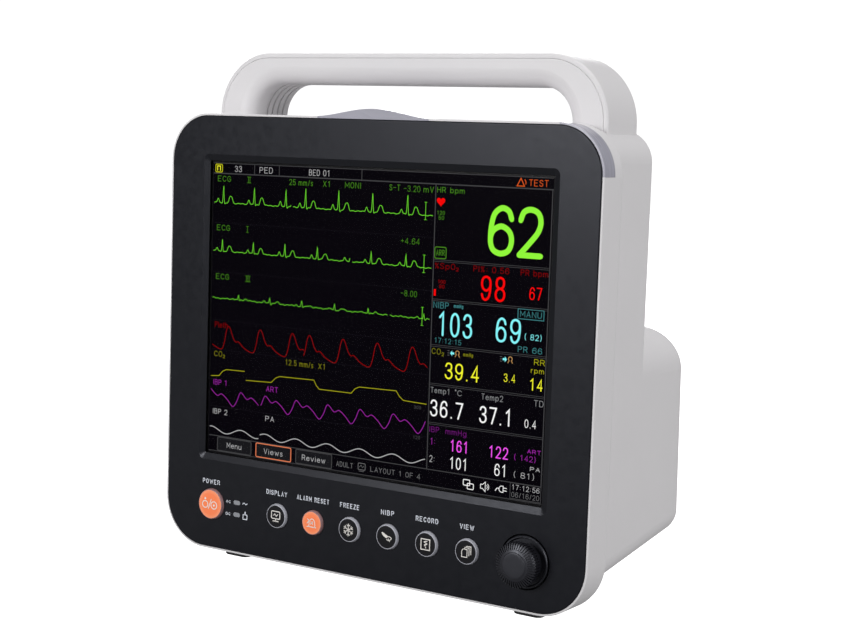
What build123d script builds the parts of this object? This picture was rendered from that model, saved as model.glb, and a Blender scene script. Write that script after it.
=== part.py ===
"""A bedside patient monitor, built as separate pieces in one frame.

The frame's origin is on the table under the middle of the monitor: +X to the viewer's right,
+Y away from the viewer and +Z up, in millimetres. Inside the script a place is given as x, depth
behind the bezel's front face, and height above the bezel's bottom edge.
"""
from build123d import *
import math
import os

os.makedirs("parts", exist_ok=True)

# ------------------------------------------------------------------ driving dimensions
SCREEN_W, SCREEN_H = 246.0, 184.5      # visible picture of a 12.1-inch 4:3 display
SCREEN_MIDDLE = 154.3                  # height of the picture's middle
HOUSING_W, HOUSING_H = 311.0, 278.6    # outline of the front housing
HOUSING_MIDDLE = 138.0
TOP_RADIUS, BOTTOM_RADIUS = 29.3, 31.3
RIM_SETBACK = 0.4                      # the white rim stands this far behind the black face
RIM = 1.2                              # visible width of the white rim
WALL = 3.0
BAND_DEPTH = 26.0                      # depth of the front housing
BEZEL_T = 2.6
WINDOW_T = 0.8
LCD_DEPTH = 3.3                        # front of the display glass
CASING_W = 300.0                       # rear casing
CASING_TOP, CASING_BOTTOM = 274.5, 13.0
CASING_DEPTH = 75.0                    # upper body
PAD_END, PAD_STEP = 170.0, 4.0         # the upper rear face stands proud above this height
UPPER_START = 100.0                    # the upper body's own form begins here, inside the bulge
BULGE_TOP = 157.0
BULGE_BOTTOM_SLOPE = 0.152
BULGE_FOOT_DEPTH, BULGE_LEAN = 137.0, -0.036
KEEL_W, KEEL_DEPTH, KEEL_BOTTOM = 184.0, 118.0, -1.0
FOOT_DROP = 7.6                        # the feet reach this far below the bezel's bottom edge
FACE_Y = -61.88                        # puts the middle of the depth on the origin
BASE_Z = FOOT_DROP

KEY_HEIGHT = 28.3
KEY_TRAVEL = 1.0
SMALL_KEY_R, POWER_KEY_R = 7.8, 10.0
KEYS = {
    "power_key": (-116.5, POWER_KEY_R),
    "display_key": (-63.0, SMALL_KEY_R),
    "alarm_reset_key": (-35.0, SMALL_KEY_R),
    "freeze_key": (-7.0, SMALL_KEY_R),
    "pressure_key": (21.0, SMALL_KEY_R),
    "record_key": (49.0, SMALL_KEY_R),
    "view_key": (77.0, SMALL_KEY_R),
}
KNOB_X, KNOB_H = 115.3, 28.4
KNOB_R = 13.2
KNOB_WELL_R = 16.3
SHAFT_R = 3.0
LED_X, LED_HEIGHTS = -96.0, (24.0, 31.8)

CASING_SCREWS = [(x, height) for x in (-136.0, 136.0) for height in (36.0, 248.0)]
HANDLE_HALF_W, HANDLE_TOP = 141.0, 316.5
HANDLE_LEG, HANDLE_BAR = 26.4, 18.5
HANDLE_OUTER_R, HANDLE_HOLE_R = 39.0, 21.0
HANDLE_FRONT, HANDLE_SEAM, HANDLE_REAR = 29.4, 43.5, 69.6
LEGS_END = CASING_TOP - 22

LEFT = -CASING_W / 2                   # the socket side
SOCKET_DEPTH = 43.0                    # middle of the socket column
RECORDER = ((57.5, 120.5), (48.0, 124.0))   # depth and height limits of the recorder opening

pieces = {}


# ------------------------------------------------------------------ frame helpers
def front(depth=0.0):
    """A plane facing the viewer; sketch x is X and sketch y is height."""
    return Plane(origin=(0, FACE_Y + depth, BASE_Z), x_dir=(1, 0, 0), z_dir=(0, -1, 0))


def side(x=0.0):
    """A plane facing +X; sketch x is depth and sketch y is height."""
    return Plane(origin=(x, FACE_Y, BASE_Z), x_dir=(0, 1, 0), z_dir=(1, 0, 0))


def level(height=0.0):
    """A plane facing up; sketch x is X and sketch y is depth."""
    return Plane(origin=(0, FACE_Y, BASE_Z + height), x_dir=(1, 0, 0), z_dir=(0, 0, 1))


def at(x, depth, height):
    return Location((x, FACE_Y + depth, BASE_Z + height))


def block(x, depth, height, mode=Mode.ADD):
    """A box between two limits in each direction."""
    size = [limits[1] - limits[0] for limits in (x, depth, height)]
    middle = [sum(limits) / 2 for limits in (x, depth, height)]
    with Locations(at(*middle)):
        Box(*size, mode=mode)


def rod_y(radius, x, height, depth, mode=Mode.ADD):
    """A cylinder along the depth, between two depths."""
    with Locations(at(x, sum(depth) / 2, height)):
        Cylinder(radius, depth[1] - depth[0], rotation=(90, 0, 0), mode=mode)


def rod_x(radius, depth, height, x, mode=Mode.ADD):
    """A cylinder along X, between two x values."""
    with Locations(at(sum(x) / 2, depth, height)):
        Cylinder(radius, x[1] - x[0], rotation=(0, 90, 0), mode=mode)


def rod_z(radius, x, depth, height, mode=Mode.ADD):
    """An upright cylinder, between two heights."""
    with Locations(at(x, depth, sum(height) / 2)):
        Cylinder(radius, height[1] - height[0], mode=mode)


def keep(name, builder):
    """Label a finished piece and put it on the list that is written at the end."""
    builder.part.label = name
    pieces[name] = builder.part


# ------------------------------------------------------------------ shared outlines
def outline(inset=0.0):
    """The front housing's outline, drawn in by a distance."""
    with BuildSketch() as shape:
        with Locations((0, HOUSING_MIDDLE)):
            Rectangle(HOUSING_W - 2 * inset, HOUSING_H - 2 * inset)
        fillet(shape.vertices().group_by(Axis.Y)[-1], TOP_RADIUS - inset)
        fillet(shape.vertices().group_by(Axis.Y)[0], BOTTOM_RADIUS - inset)
    return shape.sketch


def screen_outline(margin, radius):
    """A rounded rectangle round the picture, larger by a margin on each side."""
    with BuildSketch() as shape:
        with Locations((0, SCREEN_MIDDLE)):
            RectangleRounded(SCREEN_W + 2 * margin, SCREEN_H + 2 * margin, radius)
    return shape.sketch


def handle_hole(grow=0.0):
    """The gap inside the handle's arch, enlarged by a distance."""
    half = HANDLE_HALF_W - HANDLE_LEG + grow
    top = HANDLE_TOP - HANDLE_BAR + grow
    with BuildSketch() as gap:
        with Locations((0, (LEGS_END - 10 + top) / 2)):
            Rectangle(2 * half, top - LEGS_END + 10)
        fillet(gap.vertices().group_by(Axis.Y)[-1], HANDLE_HOLE_R + grow)
    return gap.sketch


def handle_arch(outer_inset=0.0, hole_grow=0.0):
    """The handle's arch, an upside-down U, with its outer edge drawn in and its gap enlarged."""
    half = HANDLE_HALF_W - outer_inset
    top = HANDLE_TOP - outer_inset
    gap = handle_hole(hole_grow)
    with BuildSketch() as shape:
        with Locations((0, (LEGS_END + top) / 2)):
            Rectangle(2 * half, top - LEGS_END)
        fillet(shape.vertices().group_by(Axis.Y)[-1], HANDLE_OUTER_R - outer_inset)
        add(gap, mode=Mode.SUBTRACT)
    return shape.sketch


def bulge_bottom(depth):
    """Height of the rear casing's underside, which rises towards the rear."""
    return CASING_BOTTOM + BULGE_BOTTOM_SLOPE * (depth - BAND_DEPTH)


def rear_form(inset=0.0):
    """The rear casing's outer form, drawn in by a distance: upper body, lower bulge and keel."""
    half = CASING_W / 2 - inset
    with BuildPart() as form:
        block((-half, half), (BAND_DEPTH - inset, CASING_DEPTH - inset), (UPPER_START, CASING_TOP - inset))
        fillet(form.edges().filter_by(Axis.Y).group_by(Axis.Z)[-1], 19 - inset)
        rear_edges = form.faces().sort_by(Axis.Y)[-1].edges()
        fillet([e for e in rear_edges if e.center().Z > BASE_Z + UPPER_START + 1], 7 - inset)
        block((-CASING_W, CASING_W), (CASING_DEPTH - PAD_STEP - inset, CASING_DEPTH + 20),
              (-10, PAD_END + inset), mode=Mode.SUBTRACT)
    with BuildPart() as bulge:
        with BuildSketch(side(-half)):
            with BuildLine():
                start = BAND_DEPTH - inset
                foot = BULGE_FOOT_DEPTH - inset
                top_depth = foot + BULGE_LEAN * (BULGE_TOP - bulge_bottom(foot))
                Polyline(
                    (start, bulge_bottom(start) + inset),
                    (foot, bulge_bottom(foot) + inset),
                    (top_depth, BULGE_TOP - inset),
                    (start, BULGE_TOP - inset),
                    close=True,
                )
            make_face()
        extrude(amount=2 * half)
        rear = bulge.faces().sort_by(Axis.Y)[-1]
        fillet([e for e in rear.edges() if abs(e.tangent_at(0.5).X) < 0.5], 13 - inset * 0.7)
        top = bulge.faces().sort_by(Axis.Z)[-1]
        fillet([e for e in top.edges() if e.center().Y > FACE_Y + start + 0.5], 26 - inset)
        under = bulge.faces().filter_by(lambda f: f.normal_at().Z < -0.9)[0]
        fillet([e for e in under.edges() if e.center().Y > FACE_Y + start + 0.5], 14 - inset)
    with BuildPart() as keel:
        block((-KEEL_W / 2 + inset, KEEL_W / 2 - inset), (BAND_DEPTH - inset, KEEL_DEPTH - inset),
              (KEEL_BOTTOM + inset, 40))
        fillet(keel.edges().filter_by(Axis.Z).group_by(Axis.Y)[-1], 8 - inset)
    return form.part + bulge.part + keel.part


# ------------------------------------------------------------------ front housing
TOP_LENS_HALF, TOP_LENS_RISE = 40.1, 5.0
LENS_BACK = 13.0
HOUSING_TOP = HOUSING_MIDDLE + HOUSING_H / 2
HOUSING_BOTTOM = HOUSING_MIDDLE - HOUSING_H / 2
CORNER_X = HOUSING_W / 2 - TOP_RADIUS
CORNER_H = HOUSING_TOP - TOP_RADIUS
FOOT_X, FOOT_FRONT_DEPTH, FOOT_REAR_DEPTH = 109.0, 19.5, 104.0
FOOT_REAR_X = 78.0

housing_outside = outline(0)
bezel_seat = outline(RIM)
housing_inside = outline(WALL)
with BuildPart() as front_housing:
    with BuildSketch(front(RIM_SETBACK)):
        add(housing_outside)
    extrude(amount=-(BAND_DEPTH - RIM_SETBACK))
    fillet(front_housing.edges().group_by(Axis.Y)[-1], 5.0)
    fillet(front_housing.edges().group_by(Axis.Y)[0], 0.4)
    with BuildSketch(front(0)):
        add(bezel_seat)
    extrude(amount=-(BEZEL_T + 0.1), mode=Mode.SUBTRACT)
    with BuildSketch(front(BEZEL_T)):
        add(housing_inside)
    extrude(amount=-(BAND_DEPTH - WALL - BEZEL_T), mode=Mode.SUBTRACT)
    with BuildSketch(front(BAND_DEPTH - WALL - 1)):
        with Locations((0, 143)):
            RectangleRounded(262, 236, 20)
    extrude(amount=-WALL - 2, mode=Mode.SUBTRACT)
    for x, height in CASING_SCREWS:
        rod_y(5, x, height, (15, BAND_DEPTH - WALL))
        rod_y(1.5, x, height, (16, BAND_DEPTH + 1), mode=Mode.SUBTRACT)
    # seats of the two alarm lenses
    block((-TOP_LENS_HALF - 0.1, TOP_LENS_HALF + 0.1), (0, LENS_BACK + 0.1),
          (HOUSING_TOP - WALL - 1, HOUSING_TOP + 1), mode=Mode.SUBTRACT)
    block((CORNER_X, CORNER_X + 40), (0, LENS_BACK + 0.1), (CORNER_H, CORNER_H + 40), mode=Mode.SUBTRACT)
    # front foot bosses
    with BuildSketch(level(HOUSING_BOTTOM + 1.0)):
        with Locations((-FOOT_X, FOOT_FRONT_DEPTH), (FOOT_X, FOOT_FRONT_DEPTH)):
            RectangleRounded(23, 11.6, 5.5)
    extrude(amount=-4.4)
keep("front_housing", front_housing)

# ------------------------------------------------------------------ black bezel with its knob well
bezel_outside = outline(RIM + 0.1)
opening_front = screen_outline(5.3, 4.0)
opening_back = screen_outline(1.3, 0.6)
window_pocket = screen_outline(4.2, 2.0)
rib_outside = outline(WALL + 0.2)
rib_inside = outline(WALL + 2.2)
BEVEL = 1.6
WELL_FLOOR = (6.4, 8.2)
BOARD_DEPTH = 8.6
LED_SLOT = (5.6, 3.0)
KEY_POSTS = [(-131.6, 14.0), (-131.6, 43.0), (90.4, 14.0), (90.4, 43.0)]
BRACKET_POSTS = [(x, h) for x in (-145.3, 145.3) for h in (65.0, 243.0)]
with BuildPart() as front_bezel:
    with BuildSketch(front(0)):
        add(bezel_outside)
    extrude(amount=-BEZEL_T)
    fillet(front_bezel.edges().group_by(Axis.Y)[0], 0.8)
    with BuildSketch(front(BEZEL_T)):
        add(rib_outside)
        add(rib_inside, mode=Mode.SUBTRACT)
    extrude(amount=-6.4)
    rod_y(KNOB_WELL_R + 2, KNOB_X, KNOB_H, (BEZEL_T, WELL_FLOOR[1]))
    for x, height in KEY_POSTS:
        rod_y(2.3, x, height, (BEZEL_T, BOARD_DEPTH))
    for x, height in BRACKET_POSTS:
        rod_y(3.4, x, height, (BEZEL_T, 12.0))
    with BuildSketch(front(0)):
        add(opening_front)
    with BuildSketch(front(BEVEL)):
        add(opening_back)
    loft(mode=Mode.SUBTRACT)
    with BuildSketch(front(BEVEL - 0.1)):
        add(opening_back)
    extrude(amount=-2, mode=Mode.SUBTRACT)
    with BuildSketch(front(BEZEL_T - WINDOW_T)):
        add(window_pocket)
    extrude(amount=-2, mode=Mode.SUBTRACT)
    for x, radius in KEYS.values():
        rod_y(radius + 0.3, x, KEY_HEIGHT, (-1, BEZEL_T + 1), mode=Mode.SUBTRACT)
    with BuildSketch(front(0)):
        with Locations(*[(LED_X, height) for height in LED_HEIGHTS]):
            SlotOverall(*LED_SLOT)
    extrude(amount=-4, mode=Mode.SUBTRACT)
    rod_y(KNOB_WELL_R, KNOB_X, KNOB_H, (-1, WELL_FLOOR[0]), mode=Mode.SUBTRACT)
    rod_y(4.7, KNOB_X, KNOB_H, (5, 10), mode=Mode.SUBTRACT)
    for x, height in BRACKET_POSTS:
        rod_y(1.25, x, height, (5, 13), mode=Mode.SUBTRACT)
    for x, height in KEY_POSTS:
        rod_y(0.9, x, height, (4, 10), mode=Mode.SUBTRACT)
keep("front_bezel", front_bezel)

# ------------------------------------------------------------------ display
window_edge = screen_outline(4.0, 1.8)
with BuildPart() as screen_window:
    with BuildSketch(front(BEZEL_T - WINDOW_T)):
        add(window_edge)
    extrude(amount=-WINDOW_T)
keep("screen_window", screen_window)

gasket_outside = screen_outline(7.5, 2.0)
gasket_inside = screen_outline(3.0, 1.0)
with BuildPart() as display_gasket:
    with BuildSketch(front(BEZEL_T)):
        add(gasket_outside)
        add(gasket_inside, mode=Mode.SUBTRACT)
    extrude(amount=-0.4)
keep("display_gasket", display_gasket)

MODULE_W, MODULE_H, MODULE_BACK = 279.0, 209.0, 11.6
with BuildPart() as lcd_panel:
    block((-131, 131), (LCD_DEPTH, LCD_DEPTH + 1.8), (SCREEN_MIDDLE - 99, SCREEN_MIDDLE + 99))
keep("lcd_panel", lcd_panel)

with BuildPart() as lcd_frame:
    block((-MODULE_W / 2, MODULE_W / 2), (BEZEL_T + 0.4, MODULE_BACK),
          (SCREEN_MIDDLE - MODULE_H / 2, SCREEN_MIDDLE + MODULE_H / 2))
    fillet(lcd_frame.edges().filter_by(Axis.Y), 1.5)
    block((-126.5, 126.5), (0, LCD_DEPTH), (SCREEN_MIDDLE - 95, SCREEN_MIDDLE + 95), mode=Mode.SUBTRACT)
    block((-131, 131), (LCD_DEPTH, LCD_DEPTH + 1.8), (SCREEN_MIDDLE - 99, SCREEN_MIDDLE + 99),
          mode=Mode.SUBTRACT)
keep("lcd_frame", lcd_frame)

BRACKET_DEPTH = 12.0
MAIN_BOARD_DEPTH = 18.0
BOARD_POSTS = [(x, height) for x in (-85.0, 85.0) for height in (86.0, 222.0)]
with BuildPart() as lcd_bracket:
    with BuildSketch(front(BRACKET_DEPTH)) as bracket_shape:
        with Locations((0, SCREEN_MIDDLE)):
            RectangleRounded(298, 202, 10)
        with Locations((-80, SCREEN_MIDDLE), (80, SCREEN_MIDDLE)):
            RectangleRounded(90, 120, 8, mode=Mode.SUBTRACT)
        with Locations(*BRACKET_POSTS):
            Circle(1.7, mode=Mode.SUBTRACT)
    extrude(amount=-1.5)
    for x, height in BOARD_POSTS:
        rod_y(3.0, x, height, (BRACKET_DEPTH + 1.5, MAIN_BOARD_DEPTH))
keep("lcd_bracket", lcd_bracket)

# ------------------------------------------------------------------ alarm lenses and their lights
LENS_FOOT = HOUSING_TOP - WALL + 0.2
with BuildPart() as top_alarm_lens:
    with BuildSketch(front(RIM_SETBACK + 0.1)):
        with BuildLine():
            crown = Spline(
                (-TOP_LENS_HALF, HOUSING_TOP),
                (-TOP_LENS_HALF / 2, HOUSING_TOP + TOP_LENS_RISE * 0.56),
                (0, HOUSING_TOP + TOP_LENS_RISE),
                (TOP_LENS_HALF / 2, HOUSING_TOP + TOP_LENS_RISE * 0.56),
                (TOP_LENS_HALF, HOUSING_TOP),
                tangents=((1, 0.05), (1, -0.05)),
            )
            Polyline(crown @ 1, (TOP_LENS_HALF, LENS_FOOT), (-TOP_LENS_HALF, LENS_FOOT), crown @ 0)
        make_face()
    extrude(amount=-(LENS_BACK - RIM_SETBACK - 0.1))
    block((-50, 50), (0, BEZEL_T + 0.2), (HOUSING_TOP - 5, HOUSING_TOP - RIM), mode=Mode.SUBTRACT)
keep("top_alarm_lens", top_alarm_lens)


def corner_sector(outer, inner):
    """A quarter ring about the housing's top right corner."""
    with BuildSketch() as sector:
        with Locations((CORNER_X, CORNER_H)):
            Circle(outer)
            Circle(inner, mode=Mode.SUBTRACT)
        with Locations((CORNER_X + 50.1, CORNER_H + 50.1)):
            Rectangle(100, 100, mode=Mode.INTERSECT)
    return sector.sketch


lens_rim = corner_sector(TOP_RADIUS, TOP_RADIUS - RIM + 0.02)
lens_body = corner_sector(TOP_RADIUS, TOP_RADIUS - WALL)
with BuildPart() as corner_alarm_lens:
    with BuildSketch(front(RIM_SETBACK + 0.1)):
        add(lens_rim)
    extrude(amount=-4)
    with BuildSketch(front(BEZEL_T + 0.1)):
        add(lens_body)
    extrude(amount=-(LENS_BACK - BEZEL_T - 0.1))
keep("corner_alarm_lens", corner_alarm_lens)

with BuildPart() as alarm_light_boards:
    block((-34, 34), (9.6, 10.8), (263.0, 271.5))
    for x in (-24, -8, 8, 24):
        block((x - 1.8, x + 1.8), (10.8, 12.2), (267.5, 270.5))
    block((141.0, 142.6), (4.6, 10.8), (250.0, 258.0))
    block((142.6, 143.9), (5.6, 9.8), (252.0, 256.0))
keep("alarm_light_boards", alarm_light_boards)

# ------------------------------------------------------------------ key row
MAT_DEPTH = (5.4, 6.4)
with BuildPart() as keypad_mat:
    block((-128.8, 87.6), MAT_DEPTH, (13.0, 43.6))
    for x, radius in KEYS.values():
        rod_y(radius - 2.4, x, KEY_HEIGHT, (MAT_DEPTH[1], BOARD_DEPTH))
        rod_y(radius - 3.4, x, KEY_HEIGHT, (MAT_DEPTH[0] - 1, BOARD_DEPTH + 1), mode=Mode.SUBTRACT)
    block((LED_X - 5, LED_X + 5), (4, 8), (19, 37), mode=Mode.SUBTRACT)
keep("keypad_mat", keypad_mat)

with BuildPart() as key_board:
    block((-134.0, 94.0), (BOARD_DEPTH, BOARD_DEPTH + 1.6), (10.0, 46.4))
    for height in LED_HEIGHTS:
        block((LED_X - 1.4, LED_X + 1.4), (BOARD_DEPTH - 0.6, BOARD_DEPTH), (height - 1, height + 1))
    block((-84, -64), (BOARD_DEPTH + 1.6, BOARD_DEPTH + 6), (34, 40))
    for x, height in KEY_POSTS:
        rod_y(1.1, x, height, (BOARD_DEPTH - 1, BOARD_DEPTH + 3), mode=Mode.SUBTRACT)
keep("key_board", key_board)

with BuildPart() as dome_switches:
    for x, radius in KEYS.values():
        rod_y(3.0, x, KEY_HEIGHT, (BOARD_DEPTH - 0.5, BOARD_DEPTH))
        rod_y(2.0, x, KEY_HEIGHT, (BOARD_DEPTH - 0.6, BOARD_DEPTH - 0.5))
keep("dome_switches", dome_switches)

with BuildPart() as status_light_pipes:
    for height in LED_HEIGHTS:
        with BuildSketch(front(0.1)):
            with Locations((LED_X, height)):
                SlotOverall(LED_SLOT[0] - 0.2, LED_SLOT[1] - 0.2)
        extrude(amount=-7.7)
keep("status_light_pipes", status_light_pipes)

for name, (x, radius) in KEYS.items():
    with BuildPart() as key:
        with BuildSketch(Plane(origin=(x, FACE_Y, BASE_Z + KEY_HEIGHT), x_dir=(1, 0, 0), z_dir=(0, 0, 1))):
            with BuildLine():
                Polyline(
                    (0, -1.8),
                    (radius - 0.5, -1.8),
                    (radius - 0.05, 0.0),
                    (radius - 0.05, 2.75),
                    (radius + 1.2, 2.75),
                    (radius + 1.2, 3.9),
                    (2.0, 3.9),
                    (2.0, BOARD_DEPTH - 0.65 - KEY_TRAVEL),
                    (0, BOARD_DEPTH - 0.65 - KEY_TRAVEL),
                    close=True,
                )
            make_face()
        revolve(axis=Axis((x, FACE_Y, BASE_Z + KEY_HEIGHT), (0, 1, 0)))
        fillet(key.edges().group_by(Axis.Y)[0], 0.4)
    keep(name, key)

# ------------------------------------------------------------------ control knob on its encoder
PUSH_TRAVEL = 0.7
with BuildPart() as encoder_body:
    block((KNOB_X - 6.5, KNOB_X + 6.5), (WELL_FLOOR[1], 15.4), (KNOB_H - 6.2, KNOB_H + 6.2))
    rod_y(4.5, KNOB_X, KNOB_H, (3.4, WELL_FLOOR[1]))
    rod_y(SHAFT_R + 0.1, KNOB_X, KNOB_H, (3, 10), mode=Mode.SUBTRACT)
    rod_y(5.4, KNOB_X, KNOB_H, (9.4, 13.0), mode=Mode.SUBTRACT)
    rod_y(SHAFT_R + 0.2, KNOB_X, KNOB_H, (12, 14.4), mode=Mode.SUBTRACT)
    for x in (-2.5, 0, 2.5):
        block((KNOB_X + x - 0.4, KNOB_X + x + 0.4), (12, 13), (KNOB_H - 9, KNOB_H - 6.2))
keep("encoder_body", encoder_body)

with BuildPart() as encoder_nut:
    with BuildSketch(front(WELL_FLOOR[0] - 2)):
        with Locations((KNOB_X, KNOB_H)):
            RegularPolygon(6.9, 6)
            Circle(4.5, mode=Mode.SUBTRACT)
    extrude(amount=-2)
keep("encoder_nut", encoder_nut)


def d_section(radius, flat):
    """A round section with one flat, about the knob's axis."""
    with BuildSketch() as section:
        with Locations((KNOB_X, KNOB_H)):
            Circle(radius)
        with Locations((KNOB_X, KNOB_H + flat + 5)):
            Rectangle(20, 10, mode=Mode.SUBTRACT)
    return section.sketch


shaft_d = d_section(SHAFT_R, 2.2)
bore_d = d_section(SHAFT_R + 0.05, 2.25)
with BuildPart() as encoder_rotor:
    rod_y(5.0, KNOB_X, KNOB_H, (9.7, 12.7))
    with BuildSketch(front(9)):
        add(bore_d)
    extrude(amount=-5, mode=Mode.SUBTRACT)
keep("encoder_rotor", encoder_rotor)

with BuildPart() as encoder_shaft:
    with BuildSketch(front(-8.5)):
        add(shaft_d)
    extrude(amount=-10.5)
    rod_y(SHAFT_R, KNOB_X, KNOB_H, (2, 8.6))
    with BuildSketch(front(8.6)):
        add(shaft_d)
    extrude(amount=-4.0)
    rod_y(1.9, KNOB_X, KNOB_H, (12.6, 13.5))
keep("encoder_shaft", encoder_shaft)

KNOB_NOSE = -12.8
RIBS = 48
with BuildPart() as control_knob:
    with BuildSketch(Plane(origin=(KNOB_X, FACE_Y, BASE_Z + KNOB_H), x_dir=(1, 0, 0), z_dir=(0, 0, 1))):
        with BuildLine():
            Polyline((0, KNOB_NOSE), (0, 1.6), (15.3, 1.6), (15.3, -0.4))
            Polyline((15.3, -0.4), (14.9, -1.0), (14.3, -1.0), (13.5, 0.4), (11.3, 0.4), (11.3, -4.4),
                     (12.9, -5.4), (KNOB_R, -6.0), (KNOB_R, -9.4))
            Spline((KNOB_R, -9.4), (12.2, -10.8), (8.0, -12.1), (0, KNOB_NOSE), tangents=((0, -1), (-1, 0)))
        make_face()
    revolve(axis=Axis((KNOB_X, FACE_Y, BASE_Z + KNOB_H), (0, 1, 0)))
    rod_y(8.6, KNOB_X, KNOB_H, (-1.5, 3), mode=Mode.SUBTRACT)
    rod_y(5.0, KNOB_X, KNOB_H, (-4.5, 3), mode=Mode.ADD)
    rod_y(6.0, KNOB_X, KNOB_H, (1.0, 3.2), mode=Mode.SUBTRACT)
    with BuildSketch(front(-8.5)):
        add(shaft_d)
    extrude(amount=-12, mode=Mode.SUBTRACT)
with BuildPart() as rib_gaps:
    with PolarLocations(0, RIBS):
        with Locations((KNOB_R, 0, 0)):
            Box(8.4, 0.75, 12)
with BuildPart() as rib_zone:
    with BuildSketch(Plane.XZ):
        with BuildLine():
            Polyline((12.3, -6.2), (12.3, -2.3), (11.5, -1.2), (7.4, 0.6), (7.4, 2), (14, 2), (14, -6.2),
                     close=True)
        make_face()
    revolve(axis=Axis.Z)
rib_cut = (rib_gaps.part & rib_zone.part).moved(Location((0, 0, 0), (90, 0, 0)))
rib_cut = rib_cut.moved(at(KNOB_X, -11.6, KNOB_H))
control_knob_part = control_knob.part - rib_cut
control_knob_part.label = "control_knob"
pieces["control_knob"] = control_knob_part

# ------------------------------------------------------------------ handle
casing = rear_form(0)
casing_room = rear_form(WALL)
HANDLE_SCREWS = [(x, depth) for x in (-121.5, 121.5) for depth in (48.5, 57.5)]
COVER_RIM = 2.8
GRIP_GROOVES = (44.4, 49.6, 54.8, 60.0)

arch = handle_arch()
arch_recess = handle_arch(COVER_RIM, -3)
arch_hollow = handle_arch(WALL, WALL)
grip_hole = handle_hole(1.2)
with BuildPart() as handle_body:
    with BuildSketch(front(HANDLE_FRONT + 0.3)):
        add(arch)
    extrude(amount=-(HANDLE_REAR - HANDLE_FRONT - 0.3))
    rear_edges = handle_body.edges().group_by(Axis.Y)[-1]
    fillet([e for e in rear_edges if e.center().Z > BASE_Z + LEGS_END + 1], 5.0)
    front_edges = handle_body.edges().group_by(Axis.Y)[0]
    upper_edges = [e for e in front_edges if e.center().Z > BASE_Z + LEGS_END + 1]
    top_edge = BASE_Z + HANDLE_TOP - 1
    fillet([e for e in upper_edges if abs(e.center().X) > 130 or e.center().Z > top_edge], 1.6)
    with BuildSketch(front(HANDLE_FRONT)):
        add(arch_recess)
    extrude(amount=-(HANDLE_SEAM - HANDLE_FRONT), mode=Mode.SUBTRACT)
    with BuildSketch(front(HANDLE_SEAM - 1)):
        add(arch_hollow)
    extrude(amount=-(HANDLE_REAR - WALL - HANDLE_SEAM + 1), mode=Mode.SUBTRACT)
    for depth in GRIP_GROOVES:
        with BuildSketch(front(depth)):
            add(grip_hole)
        extrude(amount=-1.5, mode=Mode.SUBTRACT)
    for x, depth in HANDLE_SCREWS:
        rod_z(3.8, x, depth, (CASING_TOP, CASING_TOP + 16))
    add(casing, mode=Mode.SUBTRACT)
    for x, depth in HANDLE_SCREWS:
        rod_z(2.0, x, depth, (CASING_TOP - 1, CASING_TOP + 13), mode=Mode.SUBTRACT)
keep("handle_body", handle_body)

cover_face = handle_arch(COVER_RIM + 0.15, 0)
cover_hollow = handle_arch(COVER_RIM + 2.8, 9.0)
with BuildPart() as handle_cover:
    with BuildSketch(front(HANDLE_FRONT)):
        add(cover_face)
    extrude(amount=-(HANDLE_SEAM - HANDLE_FRONT - 0.2))
    front_edges = handle_cover.edges().group_by(Axis.Y)[0]
    inner_edges = [e for e in front_edges if abs(e.center().X) < HANDLE_HALF_W - HANDLE_LEG + 0.5]
    fillet([e for e in inner_edges if e.center().Z < BASE_Z + HANDLE_TOP - HANDLE_BAR + 0.5], 9.8)
    front_edges = handle_cover.edges().group_by(Axis.Y)[0]
    upper_edges = [e for e in front_edges if e.center().Z > BASE_Z + LEGS_END + 1]
    top_edge = BASE_Z + HANDLE_TOP - 4
    fillet([e for e in upper_edges if abs(e.center().X) > 130 or e.center().Z > top_edge], 0.5)
    with BuildSketch(front(HANDLE_FRONT + 3)):
        add(cover_hollow)
    extrude(amount=-10, mode=Mode.SUBTRACT)
    add(casing, mode=Mode.SUBTRACT)
keep("handle_cover", handle_cover)

# ------------------------------------------------------------------ rear housing
PANEL = ((31.5, 54.5), (44.0, 236.0))             # sensor panel opening: depth and height limits
REAR_BAY = ((-118.0, -14.0), (50.0, 106.0))       # rear connector bay: x and height limits
BAY_PLATE_DEPTH = 124.0
BATTERY_SLOT = ((-58.0, 58.0), (3.2, 22.0))
BRACKET_HOLES = [(x, 222.0 + dz) for x in (-37.5, 37.5) for dz in (-37.5, 37.5)]
SPEAKER = (88.0, 92.0)
SCOOP_FLOOR = 266.0

with BuildPart() as scoop:
    block((-96, 96), (35, 63), (SCOOP_FLOOR, CASING_TOP + 6))
    fillet(scoop.edges().filter_by(Axis.Z), 13)
    fillet(scoop.faces().sort_by(Axis.Z)[0].edges(), 5)
with BuildPart() as bay_collar:
    block((REAR_BAY[0][0] - 2, REAR_BAY[0][1] + 2), (BAY_PLATE_DEPTH + 1.5, 150),
          (REAR_BAY[1][0] - 2, REAR_BAY[1][1] + 2))
collar = casing & bay_collar.part
with BuildPart() as screw_wells:
    for x, height in CASING_SCREWS:
        rod_y(6.0, x, height, (BAND_DEPTH, 150))
wells = casing & screw_wells.part

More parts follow.
